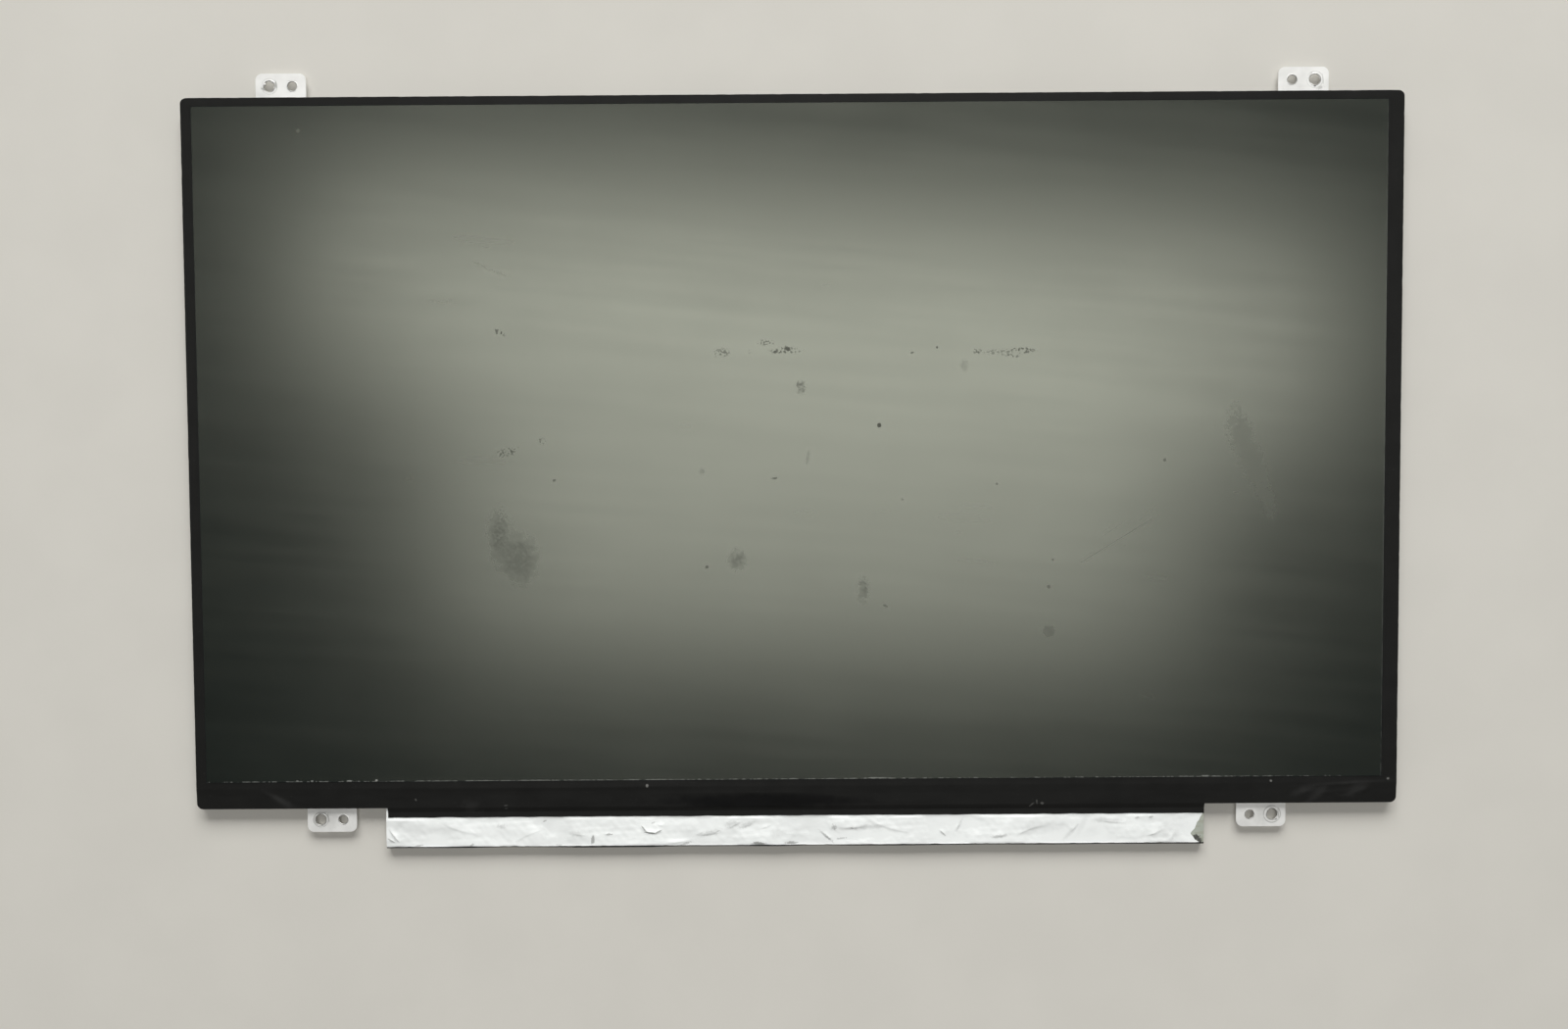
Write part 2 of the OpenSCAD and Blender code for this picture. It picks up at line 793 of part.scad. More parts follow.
module driver_chips() {
    color("dimgray")
        for (i = [0:driver_count - 1])
            block(
                [driver_x(i) - driver_l / 2, chips_south, filter_z],
                [driver_x(i) + driver_l / 2, chips_north, chip_top_z]
            );
}

// Each film leaves the glass, steps down over the module's edge and lands on the board
module bonding_films() {
    color("sienna")
        for (i = [0:driver_count - 1])
            drawn(
                driver_x(i) - film_w / 2, driver_x(i) + film_w / 2,
                [
                    [glass_south + film_on_glass, filter_z], [wall_south, filter_z],
                    [film_foot_y, board_top_z], [film_foot_y - film_on_board, board_top_z],
                    [film_foot_y - film_on_board, board_top_z + film_t],
                    [film_foot_y, board_top_z + film_t], [wall_south, film_top_z],
                    [glass_south + film_on_glass, film_top_z]
                ]
            );
}

module led_flex() {
    color("goldenrod") {
        block(
            [-led_span / 2, flex_south, floor_z],
            [led_span / 2, flex_north, led_z]
        );
        // Tail that rises to the lamp connector
        drawn(
            tail_x - tail_w / 2, tail_x + tail_w / 2,
            [
                [flex_north, floor_z], [south, floor_z],
                [lamp_socket_north, tail_end_z - flex_t / 2],
                [lamp_socket_north - lamp_slot_d, tail_end_z - flex_t / 2],
                [lamp_socket_north - lamp_slot_d, tail_end_z + flex_t / 2],
                [lamp_socket_north, tail_end_z + flex_t / 2],
                [south, led_z], [flex_north, led_z]
            ]
        );
    }
}

// The recess in a lamp that holds its window
module led_recess(i, depth) {
    block(
        [led_x(i) - led_l / 2 + 2 * led_wall, led_south + led_d - led_window_d, led_z + led_wall],
        [led_x(i) + led_l / 2 - 2 * led_wall, led_south + led_d - led_window_d + depth, led_z + led_h - led_wall]
    );
}

module led_packages() {
    color("ivory")
        for (i = [0:led_count - 1])
            difference() {
                block(
                    [led_x(i) - led_l / 2, led_south, led_z],
                    [led_x(i) + led_l / 2, led_south + led_d, led_z + led_h]
                );
                led_recess(i, led_window_d + cut);
            }
}

module led_windows() {
    color("gold")
        for (i = [0:led_count - 1])
            led_recess(i, led_window_d);
}

module lamp_socket() {
    color("ivory")
        difference() {
            block(
                [tail_x - lamp_socket_w / 2, lamp_socket_north - lamp_socket_d, lamp_socket_z],
                [tail_x + lamp_socket_w / 2, lamp_socket_north, board_z]
            );
            block(
                [
                    tail_x - tail_w / 2 - tail_fit, lamp_socket_north - lamp_slot_d - tail_fit,
                    tail_end_z - flex_t / 2
                ],
                [tail_x + tail_w / 2 + tail_fit, lamp_socket_north + cut, tail_end_z + flex_t / 2]
            );
            // Seat of the latch bar
            block(
                [
                    tail_x - tail_w / 2 - tail_fit, lamp_socket_north - lamp_socket_d - cut,
                    lamp_socket_z - cut
                ],
                [
                    tail_x + tail_w / 2 + tail_fit, lamp_socket_north - lamp_socket_d / 2,
                    lamp_socket_z + lamp_latch_t
                ]
            );
        }
}

module lamp_latch() {
    color("saddlebrown")
        block(
            [tail_x - tail_w / 2, lamp_socket_north - lamp_socket_d, lamp_socket_z],
            [tail_x + tail_w / 2, lamp_socket_north - lamp_socket_d / 2 - tail_fit, lamp_socket_z + lamp_latch_t]
        );
}

module circuit_board() {
    color("darkseagreen")
        slab(board_z, board_top_z)
            rounded(board_west, board_east, board_south, board_north, board_r);
}

// Part under the board, from its middle, its size in plan and its height
module board_part(x, y, size_x, size_y, height) {
    block([x - size_x / 2, y - size_y / 2, board_z - height], [x + size_x / 2, y + size_y / 2, board_z]);
}

module timing_chip() {
    color("darkgray")
        board_part(station_x("timing"), parts_line_y, timing_side, timing_side, timing_h);
}

module power_chips() {
    color("gray")
        for (i = [0:power_count - 1])
            board_part(station_x("power", i), parts_line_y, power_side, power_side, power_h);
}

module memory_chip() {
    color("darkgray")
        board_part(station_x("memory"), parts_line_y, memory_l, memory_w, memory_h);
}

// Drum core: two square flanges with a round waist between them
module inductors() {
    color("dimgray")
        for (i = [0:power_count - 1])
            translate([station_x("power", i) + inductor_away, parts_line_y, board_z - inductor_h]) {
                flange = (inductor_h - inductor_window) / 2;
                for (z = [0, inductor_h - flange])
                    translate([-inductor_side / 2, -inductor_side / 2, z])
                        cube([inductor_side, inductor_side, flange]);
                translate([0, 0, flange])
                    cylinder(h = inductor_window, d = inductor_core_d);
            }
}

module capacitors() {
    color("tan")
        for (i = [0:power_count - 1], j = [0:capacitor_count - 1])
            board_part(
                station_x("power", i) - capacitor_away,
                parts_line_y + (j - (capacitor_count - 1) / 2) * capacitor_pitch,
                capacitor_l, capacitor_w, capacitor_h
            );
}

module resistors() {
    color("black")
        for (j = [0:resistor_count - 1], s = sides)
            board_part(
                station_x("timing") + resistor_away + j * resistor_pitch,
                parts_line_y + s * resistor_rows / 2,
                resistor_w, resistor_l, resistor_h
            );
}

module rectifier_diode() {
    color("black")
        board_part(station_x("power", power_count - 1) + diode_away, parts_line_y, diode_l, diode_w, diode_h);
}

module socket_body() {
    color("ivory")
        difference() {
            block(
                [socket_mid_x - socket_w / 2, socket_south, socket_z],
                [socket_mid_x + socket_w / 2, socket_south + socket_d, board_z]
            );
            block(
                [socket_mid_x - mouth_w / 2, socket_south - cut, mouth_z],
                [socket_mid_x + mouth_w / 2, socket_south + mouth_d, mouth_z + mouth_h]
            );
            // Slots in which the contacts lie
            for (i = [0:contact_count - 1])
                contact_space(i);
        }
}

// Room of one contact: along the mouth's roof, through the back and down to the board
module contact_space(i) {
    x = socket_mid_x + (i - (contact_count - 1) / 2) * contact_pitch;
    drawn(
        x - contact_w / 2, x + contact_w / 2,
        [
            [socket_south + contact_foot, mouth_z + mouth_h],
            [socket_south + socket_d + contact_t, mouth_z + mouth_h],
            [socket_south + socket_d + contact_t, board_z - contact_t],
            [socket_south + socket_d + contact_foot, board_z - contact_t],
            [socket_south + socket_d + contact_foot, board_z],
            [socket_south + socket_d, board_z],
            [socket_south + socket_d, mouth_z + mouth_h + contact_t],
            [socket_south + contact_foot, mouth_z + mouth_h + contact_t]
        ]
    );
}

module socket_contacts() {
    color("gold")
        for (i = [0:contact_count - 1])
            contact_space(i);
}

// Sheet metal over the socket's outer face and ends, with a solder tab at each end
module socket_shell() {
    half = socket_w / 2;
    color("lightgray")
        translate([socket_mid_x, socket_south, 0]) {
            block([-half - shell_t, 0, socket_z - shell_t], [half + shell_t, socket_d, socket_z]);
            for (s = sides)
                mirror([s < 0 ? 1 : 0, 0, 0]) {
                    block([half, 0, socket_z - shell_t], [half + shell_t, socket_d, board_z]);
                    block(
                        [half, (socket_d - shell_tab) / 2, board_z - shell_t],
                        [half + shell_t + shell_tab, (socket_d + shell_tab) / 2, board_z]
                    );
                }
        }
}

// Perimeter strip of the module, as wide as the distance, in plan
module perimeter(width) {
    difference() {
        outline(0);
        outline(width);
    }
}

// Space of the ears in the tape
module ear_ways() {
    at_ears()
        block(
            [-ear_w / 2 - tape_ear_fit, -tape_lap - cut, -cut],
            [ear_w / 2 + tape_ear_fit, cut, ear_top_z + tape_ear_fit]
        );
}

module rim_tape() {
    color("black")
        difference() {
            union() {
                slab(0, cover_z)
                    perimeter(tape_lap);
                slab(0, face_z + tape_t)
                    perimeter(tape_t);
                slab(face_z, face_z + tape_t)
                    difference() {
                        outline(0);
                        translate([screen_west - rim_gap, south])
                            square([
                                screen_east - screen_west + 2 * rim_gap, screen_north + rim_gap - south
                            ]);
                    }
            }
            block([west - cut, south - cut, -cut], [east + cut, tape_split_y, face_z + tape_t + cut]);
            ear_ways();
        }
}

module lower_tape() {
    color("black") {
        difference() {
            union() {
                intersection() {
                    slab(0, face_z + tape_t)
                        outline(0);
                    drawn(
                        west, east,
                        [
                            [tape_split_y, face_z], [filter_south, face_z], [chips_south, chip_top_z],
                            [wall_south, lip_low_z], [south, lip_low_z], [south, lip_low_z + tape_t],
                            [chips_south, chip_top_z + tape_t], [filter_south, face_z + tape_t],
                            [tape_split_y, face_z + tape_t]
                        ]
                    );
                }
                difference() {
                    intersection() {
                        slab(0, face_z + tape_t)
                            perimeter(tape_t);
                        drawn(
                            west, east,
                            [
                                [tape_split_y, 0], [south, 0], [south, lip_low_z + tape_t],
                                [chips_south, chip_top_z + tape_t], [filter_south, face_z + tape_t],
                                [tape_split_y, face_z + tape_t]
                            ]
                        );
                    }
                    block([board_west, south - cut, -cut], [board_east, wall_south + cut, lip_low_z]);
                }
                intersection() {
                    slab(0, cover_z)
                        difference() {
                            perimeter(tape_lap);
                            translate([board_west, south - cut])
                                square([board_w, tape_lap + cut]);
                        }
                    block([west, south, 0], [east, tape_split_y, cover_z]);
                }
            }
            ear_ways();
        }
        // Flap over the edge of the board
        drawn(
            board_west + foil_wing, board_east,
            [
                [wall_south, lip_low_z], [tape_foot_y, board_top_z + film_t],
                [south - tape_over, board_top_z + film_t], [south - tape_over, board_top_z + film_t + tape_t],
                [tape_foot_y, board_top_z + film_t + tape_t], [south, lip_low_z + tape_t],
                [wall_south, lip_low_z + tape_t]
            ]
        );
    }
}

// One crease of the foil: a low ridge that is steep on one side and runs out at both ends
module crease(length, height, bow) {
    root_z = board_top_z + foil_t / 2;
    polyhedron(
        [
            [-length / 2, 0, root_z], [0, bow - crease_steep, root_z], [length / 2, 0, root_z],
            [0, bow + crease_gentle, root_z], [0, bow, foil_top_z + height]
        ],
        [[0, 1, 2, 3], [1, 0, 4], [2, 1, 4], [3, 2, 4], [0, 3, 4]]
    );
}

module foil_tape() {
    open_north = south - tape_over;
    top = open_north + foil_under;
    color("lightsteelblue") {
        slab(board_top_z, foil_top_z)
            polygon([
                [board_west, board_south], [board_east - foil_tear / 3, board_south],
                [board_east - foil_tear * 2 / 3, board_south + foil_tear / 5],
                [board_east - foil_tear, board_south + foil_tear * 2 / 3],
                [board_east, top], [board_west + foil_wing, top],
                [board_west + foil_wing, board_north], [board_west, board_north]
            ]);
        intersection() {
            block(
                [board_west + crease_margin, board_south + crease_margin, board_top_z],
                [board_east - foil_tear - crease_margin, open_north - crease_margin, face_z]
            );
            for (place = foil_creases)
                translate([board_x + place[0], board_south + place[1], 0])
                    rotate(place[4])
                        crease(place[2], place[3] * foil_crease, place[5]);
        }
    }
}

// Black film over the parts on the board, folded up along the board's lower edge
module board_film() {
    bulge_x = board_west + film_bulge_x;
    color("black")
        difference() {
            union() {
                block([board_west, film_south, 0], [board_east, south + tape_lap, board_film_t]);
                block([board_west, film_south, 0], [board_east, board_south, board_top_z]);
                slab(0, board_film_t)
                    polygon([
                        [bulge_x - film_bulge_l / 2, board_south],
                        [bulge_x - film_bulge_l / 2 + 2 * film_bulge, film_south - film_bulge],
                        [bulge_x + film_bulge_l / 2 - 2 * film_bulge, film_south - film_bulge],
                        [bulge_x + film_bulge_l / 2, board_south]
                    ]);
            }
            // Window for the signal socket
            block(
                [socket_mid_x - socket_w / 2 - shell_t - shell_tab - film_window_fit, film_south - cut, -cut],
                [
                    socket_mid_x + socket_w / 2 + shell_t + shell_tab + film_window_fit,
                    socket_south + socket_d + contact_foot + film_window_fit, board_top_z - shell_t
                ]
            );
        }
}

back_cover();
mould_frame();
reflector_sheet();
light_guide();
lower_diffuser();
lower_prism_sheet();
upper_prism_sheet();
upper_diffuser();
panel_adhesive();
rear_polarizer();
tft_glass();
colour_filter_glass();
front_polarizer();
driver_chips();
bonding_films();
led_flex();
led_packages();
led_windows();
lamp_socket();
lamp_latch();
circuit_board();
timing_chip();
power_chips();
memory_chip();
inductors();
capacitors();
resistors();
rectifier_diode();
socket_body();
socket_shell();
socket_contacts();
rim_tape();
lower_tape();
foil_tape();
board_film();
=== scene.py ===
"""Laptop screen panel lying on its back: finishes for all its pieces, finer meshes for its tapes and foil.

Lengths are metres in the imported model's own axes: +X right and +Y up as a viewer sees the screen, +Z out
of it. Places of marks on the panel are in millimetres, and each class turns them into metres.
"""
import json
import logging
import math
from dataclasses import dataclass, field, replace
from enum import Enum
from typing import Callable, Sequence

import bmesh
import bpy
import numpy as np
from mathutils import Euler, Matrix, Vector


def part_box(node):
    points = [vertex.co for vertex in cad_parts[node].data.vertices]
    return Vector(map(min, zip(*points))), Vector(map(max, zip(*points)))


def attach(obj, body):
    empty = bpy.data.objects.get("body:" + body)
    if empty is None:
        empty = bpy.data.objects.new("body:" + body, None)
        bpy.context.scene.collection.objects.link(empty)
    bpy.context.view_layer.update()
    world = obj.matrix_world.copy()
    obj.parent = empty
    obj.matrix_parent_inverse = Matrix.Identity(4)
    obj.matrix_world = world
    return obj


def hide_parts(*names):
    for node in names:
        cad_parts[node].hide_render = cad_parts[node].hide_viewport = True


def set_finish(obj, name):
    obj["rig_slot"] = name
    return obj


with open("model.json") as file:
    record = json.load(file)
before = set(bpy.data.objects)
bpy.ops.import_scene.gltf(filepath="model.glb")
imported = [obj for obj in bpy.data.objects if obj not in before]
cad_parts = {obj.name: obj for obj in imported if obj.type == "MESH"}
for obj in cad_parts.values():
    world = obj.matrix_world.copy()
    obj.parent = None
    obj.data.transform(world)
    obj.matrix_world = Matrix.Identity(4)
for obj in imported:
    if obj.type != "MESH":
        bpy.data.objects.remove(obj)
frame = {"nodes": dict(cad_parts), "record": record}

MM = 0.001
LOG = logging.getLogger("screen_panel")

# Limits in metres, and an angle in radians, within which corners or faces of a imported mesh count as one.
CUT_TOLERANCE = 1e-8
WELD_DISTANCE = 1e-7
FLAT_ANGLE = 0.01

Place = tuple[float, float]
Triple = tuple[float, float, float]
Colour = tuple[float, float, float]
Array = np.ndarray
Grid = bmesh.types.BMesh
Material = bpy.types.Material
Object = bpy.types.Object
Socket = bpy.types.NodeSocket
Shape = Callable[[Array, Array], Array]


class Slot(Enum):
    """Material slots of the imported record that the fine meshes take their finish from."""

    BACK_COVER = "back_cover"
    BLACK_TAPE = "black_tape"
    FOIL = "foil"
    BLACK_FILM = "black_film"


class Axis(Enum):
    """Axes along which a mesh is cut into strips."""

    X = 0
    Y = 1


@dataclass(frozen=True)
class Patch:
    """Oval mark on a surface seen from above, with a soft and ragged edge.

    Centre, radii and the grain of the ragged edge are in millimetres, the turn in degrees. Strength is 1
    for a mark that covers the surface.
    """

    centre: Place
    radii: Place
    turn: float = 0.0
    ragged: float = 0.35
    soft: float = 0.35
    grain: float = 0.8
    strength: float = 1.0


def ovals(*rows: tuple[float, ...]) -> tuple[Patch, ...]:
    """Marks from rows of centre X and Y, radius X and Y, turn, ragged, soft, grain and strength."""
    return tuple(Patch(row[:2], row[2:4], *row[4:]) for row in rows)


@dataclass(frozen=True)
class Cloud:
    """Cloudy pattern on a surface, eased from start where it is low to end where it is high.

    The size is in millimetres and the turn in degrees. Stretch makes the clouds longer along each axis.
    """

    size: float
    detail: float
    low: float
    high: float
    start: float = 0.0
    end: float = 1.0
    stretch: Triple = (1.0, 1.0, 1.0)
    turn: float = 0.0


@dataclass(frozen=True)
class Ring:
    """Thin ring on a surface seen from above, broken here and there, with its lengths in millimetres."""

    centre: Place
    radius: float
    width: float
    strength: float
    breaks: Cloud = Cloud(1.6, 3.0, 0.30, 0.55, start=0.25)


@dataclass(frozen=True)
class Fold:
    """Crease in a thin sheet, steep on one side and gentle on the other, along a slightly bowed line.

    Lengths are in millimetres, the turn in degrees. A negative height makes a groove.
    """

    centre: Place
    length: float
    height: float
    turn: float = 0.0
    bow: float = 0.0
    steep: float = 0.18
    gentle: float = 0.9

    def lift(self, x: Array, y: Array) -> Array:
        """Height that the crease adds at each point.

        Args:
            x: Places along X, in millimetres.
            y: Places along Y, in millimetres.

        Returns:
            Heights in millimetres.
        """
        turn = math.radians(self.turn)
        dx = x - self.centre[0]
        dy = y - self.centre[1]
        along = (dx * math.cos(turn) + dy * math.sin(turn)) / (self.length / 2)
        across = dy * math.cos(turn) - dx * math.sin(turn) - self.bow * along**2
        width = np.where(across > 0, self.gentle, self.steep)
        taper = np.clip(1 - along**2, 0, 1) ** 1.5
        return self.height * np.exp(-np.abs(across) / width) * taper


def creases(*rows: tuple[float, ...]) -> tuple[Fold, ...]:
    """Creases from rows of centre X and Y, length, height, turn, bow, steep and gentle."""
    return tuple(Fold(row[:2], *row[2:]) for row in rows)


@dataclass(frozen=True)
class Ripple:
    """Smooth random swell of a thin sheet: a seeded sum of plane waves, with lengths in millimetres."""

    size: float
    height: float
    seed: int
    stretch: float = 1.0
    waves: int = 16

    def lift(self, x: Array, y: Array) -> Array:
        """Height that the swell adds at each point.

        Args:
            x: Places along X, in millimetres.
            y: Places along Y, in millimetres.

        Returns:
            Heights in millimetres.
        """
        dice = np.random.default_rng(self.seed)
        total = np.zeros_like(x)
        for _ in range(self.waves):
            angle = dice.uniform(0, math.pi)
            size = self.size * dice.uniform(0.6, 1.8)
            phase = dice.uniform(0, 2 * math.pi)
            way = x / self.stretch * math.cos(angle) + y * math.sin(angle)
            total += np.sin(2 * math.pi * way / size + phase)
        return self.height * total / math.sqrt(self.waves)


class Graph:
    """Shader nodes of a material or of the sky, with short calls for the steps that they share."""

    def __init__(self, owner: Material | bpy.types.World) -> None:
        """Start the nodes.

        Args:
            owner: Material or world that holds them.
        """
        owner.use_nodes = True
        self.owner = owner
        self.nodes = owner.node_tree.nodes
        self.shader = self.nodes.get("Principled BSDF")
        self.where = self.node("TexCoord").outputs
        self.place = self.where["Object"]
        self.clouds: dict[tuple, Socket] = {}

    def node(self, kind: str) -> bpy.types.Node:
        """New node of a kind, named as in Blender without its first word."""
        return self.nodes.new("ShaderNode" + kind)

    def feed(self, socket: Socket, value: Socket | float | Sequence[float]) -> None:
        """Link a node's output to a socket, or set the socket's own number.

        Args:
            socket: Input that takes the value.
            value: Output of another node, a number or several.
        """
        if isinstance(value, bpy.types.NodeSocket):
            self.owner.node_tree.links.new(value, socket)
        else:
            socket.default_value = value

    def math(self, operation: str, first: Socket | float, second: Socket | float = 0.0) -> Socket:
        """Combine two values.

        Args:
            operation: Name of the operation, such as ADD.
            first: First value.
            second: Second value.

        Returns:
            Output with the result.
        """
        node = self.node("Math")
        node.operation = operation
        self.feed(node.inputs[0], first)
        self.feed(node.inputs[1], second)
        return node.outputs[0]

    def raised(self, value: Socket, mask: Socket, amount: Socket | float) -> Socket:
        """Value raised by an amount where a mask is 1."""
        return self.math("ADD", value, self.math("MULTIPLY", mask, amount))

    def mapped(self, centre: Place, units: Sequence[float], turn: float) -> Socket:
        """Places on the surface, counted from a centre in units of their own along turned axes.

        Args:
            centre: Where the counting starts, in millimetres.
            units: Length of one unit along each axis, in millimetres.
            turn: Turn of the axes about Z, in degrees.

        Returns:
            Output with the places.
        """
        node = self.node("Mapping")
        node.vector_type = "TEXTURE"
        node.inputs["Location"].default_value = (centre[0] * MM, centre[1] * MM, 0)
        node.inputs["Rotation"].default_value = (0, 0, math.radians(turn))
        node.inputs["Scale"].default_value = [unit * MM for unit in units]
        self.feed(node.inputs["Vector"], self.place)
        return node.outputs["Vector"]

    def length(self, vector: Socket) -> Socket:
        """Length of a vector."""
        node = self.node("VectorMath")
        node.operation = "LENGTH"
        self.feed(node.inputs[0], vector)
        return node.outputs["Value"]

    def noise(self, size: float, detail: float, stretch: Triple = (1, 1, 1), turn: float = 0.0) -> Socket:
        """Cloudy noise from 0 to 1, made once for each set of values.

        Args:
            size: Size of the clouds, in millimetres.
            detail: How many finer layers they hold.
            stretch: How much longer they are along each axis.
            turn: Turn of the pattern about Z, in degrees.

        Returns:
            Output with the noise.
        """
        key = (size, detail, stretch, turn)
        if key not in self.clouds:
            node = self.node("TexNoise")
            node.inputs["Scale"].default_value = 1.0
            node.inputs["Detail"].default_value = detail
            units = [size * part for part in stretch]
            self.feed(node.inputs["Vector"], self.mapped((0, 0), units, turn))
            self.clouds[key] = node.outputs["Fac"]
        return self.clouds[key]

    def remap(self, value: Socket, low: float, high: float, start: float = 0, end: float = 1) -> Socket:
        """Ease a value from one range to another and hold it there.

        Args:
            value: Value to change.
            low: Value that becomes start.
            high: Value that becomes end.
            start: First result.
            end: Last result.

        Returns:
            Output with the result.
        """
        node = self.node("MapRange")
        node.interpolation_type = "SMOOTHSTEP"
        self.feed(node.inputs["Value"], value)
        for name, number in zip(("From Min", "From Max", "To Min", "To Max"), (low, high, start, end)):
            node.inputs[name].default_value = number
        return node.outputs["Result"]

    def cloud(self, cloud: Cloud) -> Socket:
        """Cloudy pattern, eased between its two values."""
        noise = self.noise(cloud.size, cloud.detail, cloud.stretch, cloud.turn)
        return self.remap(noise, cloud.low, cloud.high, cloud.start, cloud.end)

    def mix(self, share: Socket | float, first: Socket | Colour, second: Socket | Colour) -> Socket:
        """Blend two colours.

        Args:
            share: Share of the second colour.
            first: First colour.
            second: Second colour.

        Returns:
            Output with the blended colour.
        """
        node = self.node("Mix")
        node.data_type = "RGBA"
        self.feed(node.inputs["Factor"], share)
        for socket, value in ((node.inputs["A"], first), (node.inputs["B"], second)):
            self.feed(socket, value if isinstance(value, bpy.types.NodeSocket) else (*value, 1.0))
        return node.outputs["Result"]

    def reach(self, centre: Place, radii: Place, turn: float = 0.0) -> Socket:
        """Distance from an oval's centre, which is 1 on its line, with its lengths in millimetres."""
        return self.length(self.mapped(centre, (*radii, 1 / MM), turn))

    def patch(self, patch: Patch) -> Socket:
        """Mask of one mark, as high inside it as its strength.

        Args:
            patch: Mark to draw.

        Returns:
            Output with the mask.
        """
        # Noise stays near 0.5, so it is spread fourfold about its middle.
        swing = patch.ragged * 4
        edge = self.math("MULTIPLY_ADD", self.noise(patch.grain, 3.0), swing)
        edge.node.inputs[2].default_value = -swing / 2
        reach = self.math("ADD", self.reach(patch.centre, patch.radii, patch.turn), edge)
        return self.remap(reach, 1 - patch.soft, 1 + patch.soft, patch.strength, 0.0)

    def ring(self, ring: Ring) -> Socket:
        """Mask of one ring, as high on its line as its strength.

        Args:
            ring: Ring to draw.

        Returns:
            Output with the mask.
        """
        reach = self.reach(ring.centre, (ring.radius, ring.radius))
        off = self.math("ABSOLUTE", self.math("SUBTRACT", reach, 1.0))
        line = self.remap(off, 0.0, ring.width / ring.radius, ring.strength, 0.0)
        return self.math("MULTIPLY", line, self.cloud(ring.breaks))

    def patches(self, marks: Sequence[Patch]) -> Socket:
        """Mask of several marks together.

        Args:
            marks: Marks to draw, at least one.

        Returns:
            Output with the mask.
        """
        mask = self.patch(marks[0])
        for mark in marks[1:]:
            mask = self.math("MAXIMUM", mask, self.patch(mark))
        return mask

    def marked(self, colour: Socket, marks: Sequence[Patch], paint: Colour) -> Socket:
        """Colour of a surface with marks of another colour on it."""
        return self.mix(self.patches(marks), colour, paint)

    def bump(self, height: Socket, depth: float) -> None:
        """Let a height pattern turn the surface's normal.

        Args:
            height: Pattern from 0 to 1.
            depth: Height of the pattern, in millimetres.
        """
        node = self.node("Bump")
        node.inputs["Distance"].default_value = depth * MM
        self.feed(node.inputs["Height"], height)
        self.feed(self.shader.inputs["Normal"], node.outputs["Normal"])

    def set(self, **numbers: float | Sequence[float]) -> None:
        """Set uniform values on the shader's own sockets, named with underscores for spaces."""
        for name, value in numbers.items():
            self.shader.inputs[name.replace("_", " ")].default_value = value


@dataclass(frozen=True)
class Finish:
    """Finish of a moulded, rolled or printed surface, whose colour and gloss drift over a fine grain.

    Grain and depth are in millimetres. Colour drifts over clouds that are many grains wide.
    """

    name: str
    colour: Colour
    roughness: float
    metallic: float = 0.0
    ior: float = 1.5
    clear: float = 0.0
    grain: float = 0.5
    depth: float = 0.004
    drift: float = 0.12
    stretch: Triple = (1.0, 1.0, 1.0)
    cloud_grains: float = 40.0
    matt_share: float = 1.1
    shiny_share: float = 0.92

    def shade(self, share: float) -> Colour:
        """The finish's colour made darker or paler by a share."""
        return tuple(min(1.0, part * (1 + share)) for part in self.colour)

    def ground(self) -> tuple[Graph, Socket, Socket, Socket]:
        """Start the material with the finish's base pattern.

        Returns:
            The material's nodes, and colour, roughness and height of the surface.
        """
        graph = Graph(bpy.data.materials.new(self.name))
        width = self.grain * self.cloud_grains
        broad = Cloud(width, detail=4.0, low=0.3, high=0.7, stretch=self.stretch)
        colour = graph.mix(graph.cloud(broad), self.shade(-self.drift), self.shade(self.drift / 2))
        shiny = self.roughness * self.shiny_share
        matt = min(1.0, self.roughness * self.matt_share)
        fine = Cloud(self.grain, 3.0, low=0.25, high=0.75, start=shiny, end=matt, stretch=self.stretch)
        return graph, colour, graph.cloud(fine), graph.noise(self.grain, 3.0, self.stretch)

    def complete(self, graph: Graph, colour: Socket, rough: Socket, height: Socket) -> Material:
        """Close the material.

        Args:
            graph: The material's nodes.
            colour: Colour of the surface.
            rough: Roughness of the surface.
            height: Height pattern of the surface.

        Returns:
            The finished material.
        """
        graph.set(Metallic=self.metallic, IOR=self.ior, Transmission_Weight=self.clear)
        graph.feed(graph.shader.inputs["Base Color"], colour)
        graph.feed(graph.shader.inputs["Roughness"], rough)
        graph.bump(height, self.depth)
        return graph.owner

    def material(self) -> Material:
        """Make the material of this finish."""
        return self.complete(*self.ground())


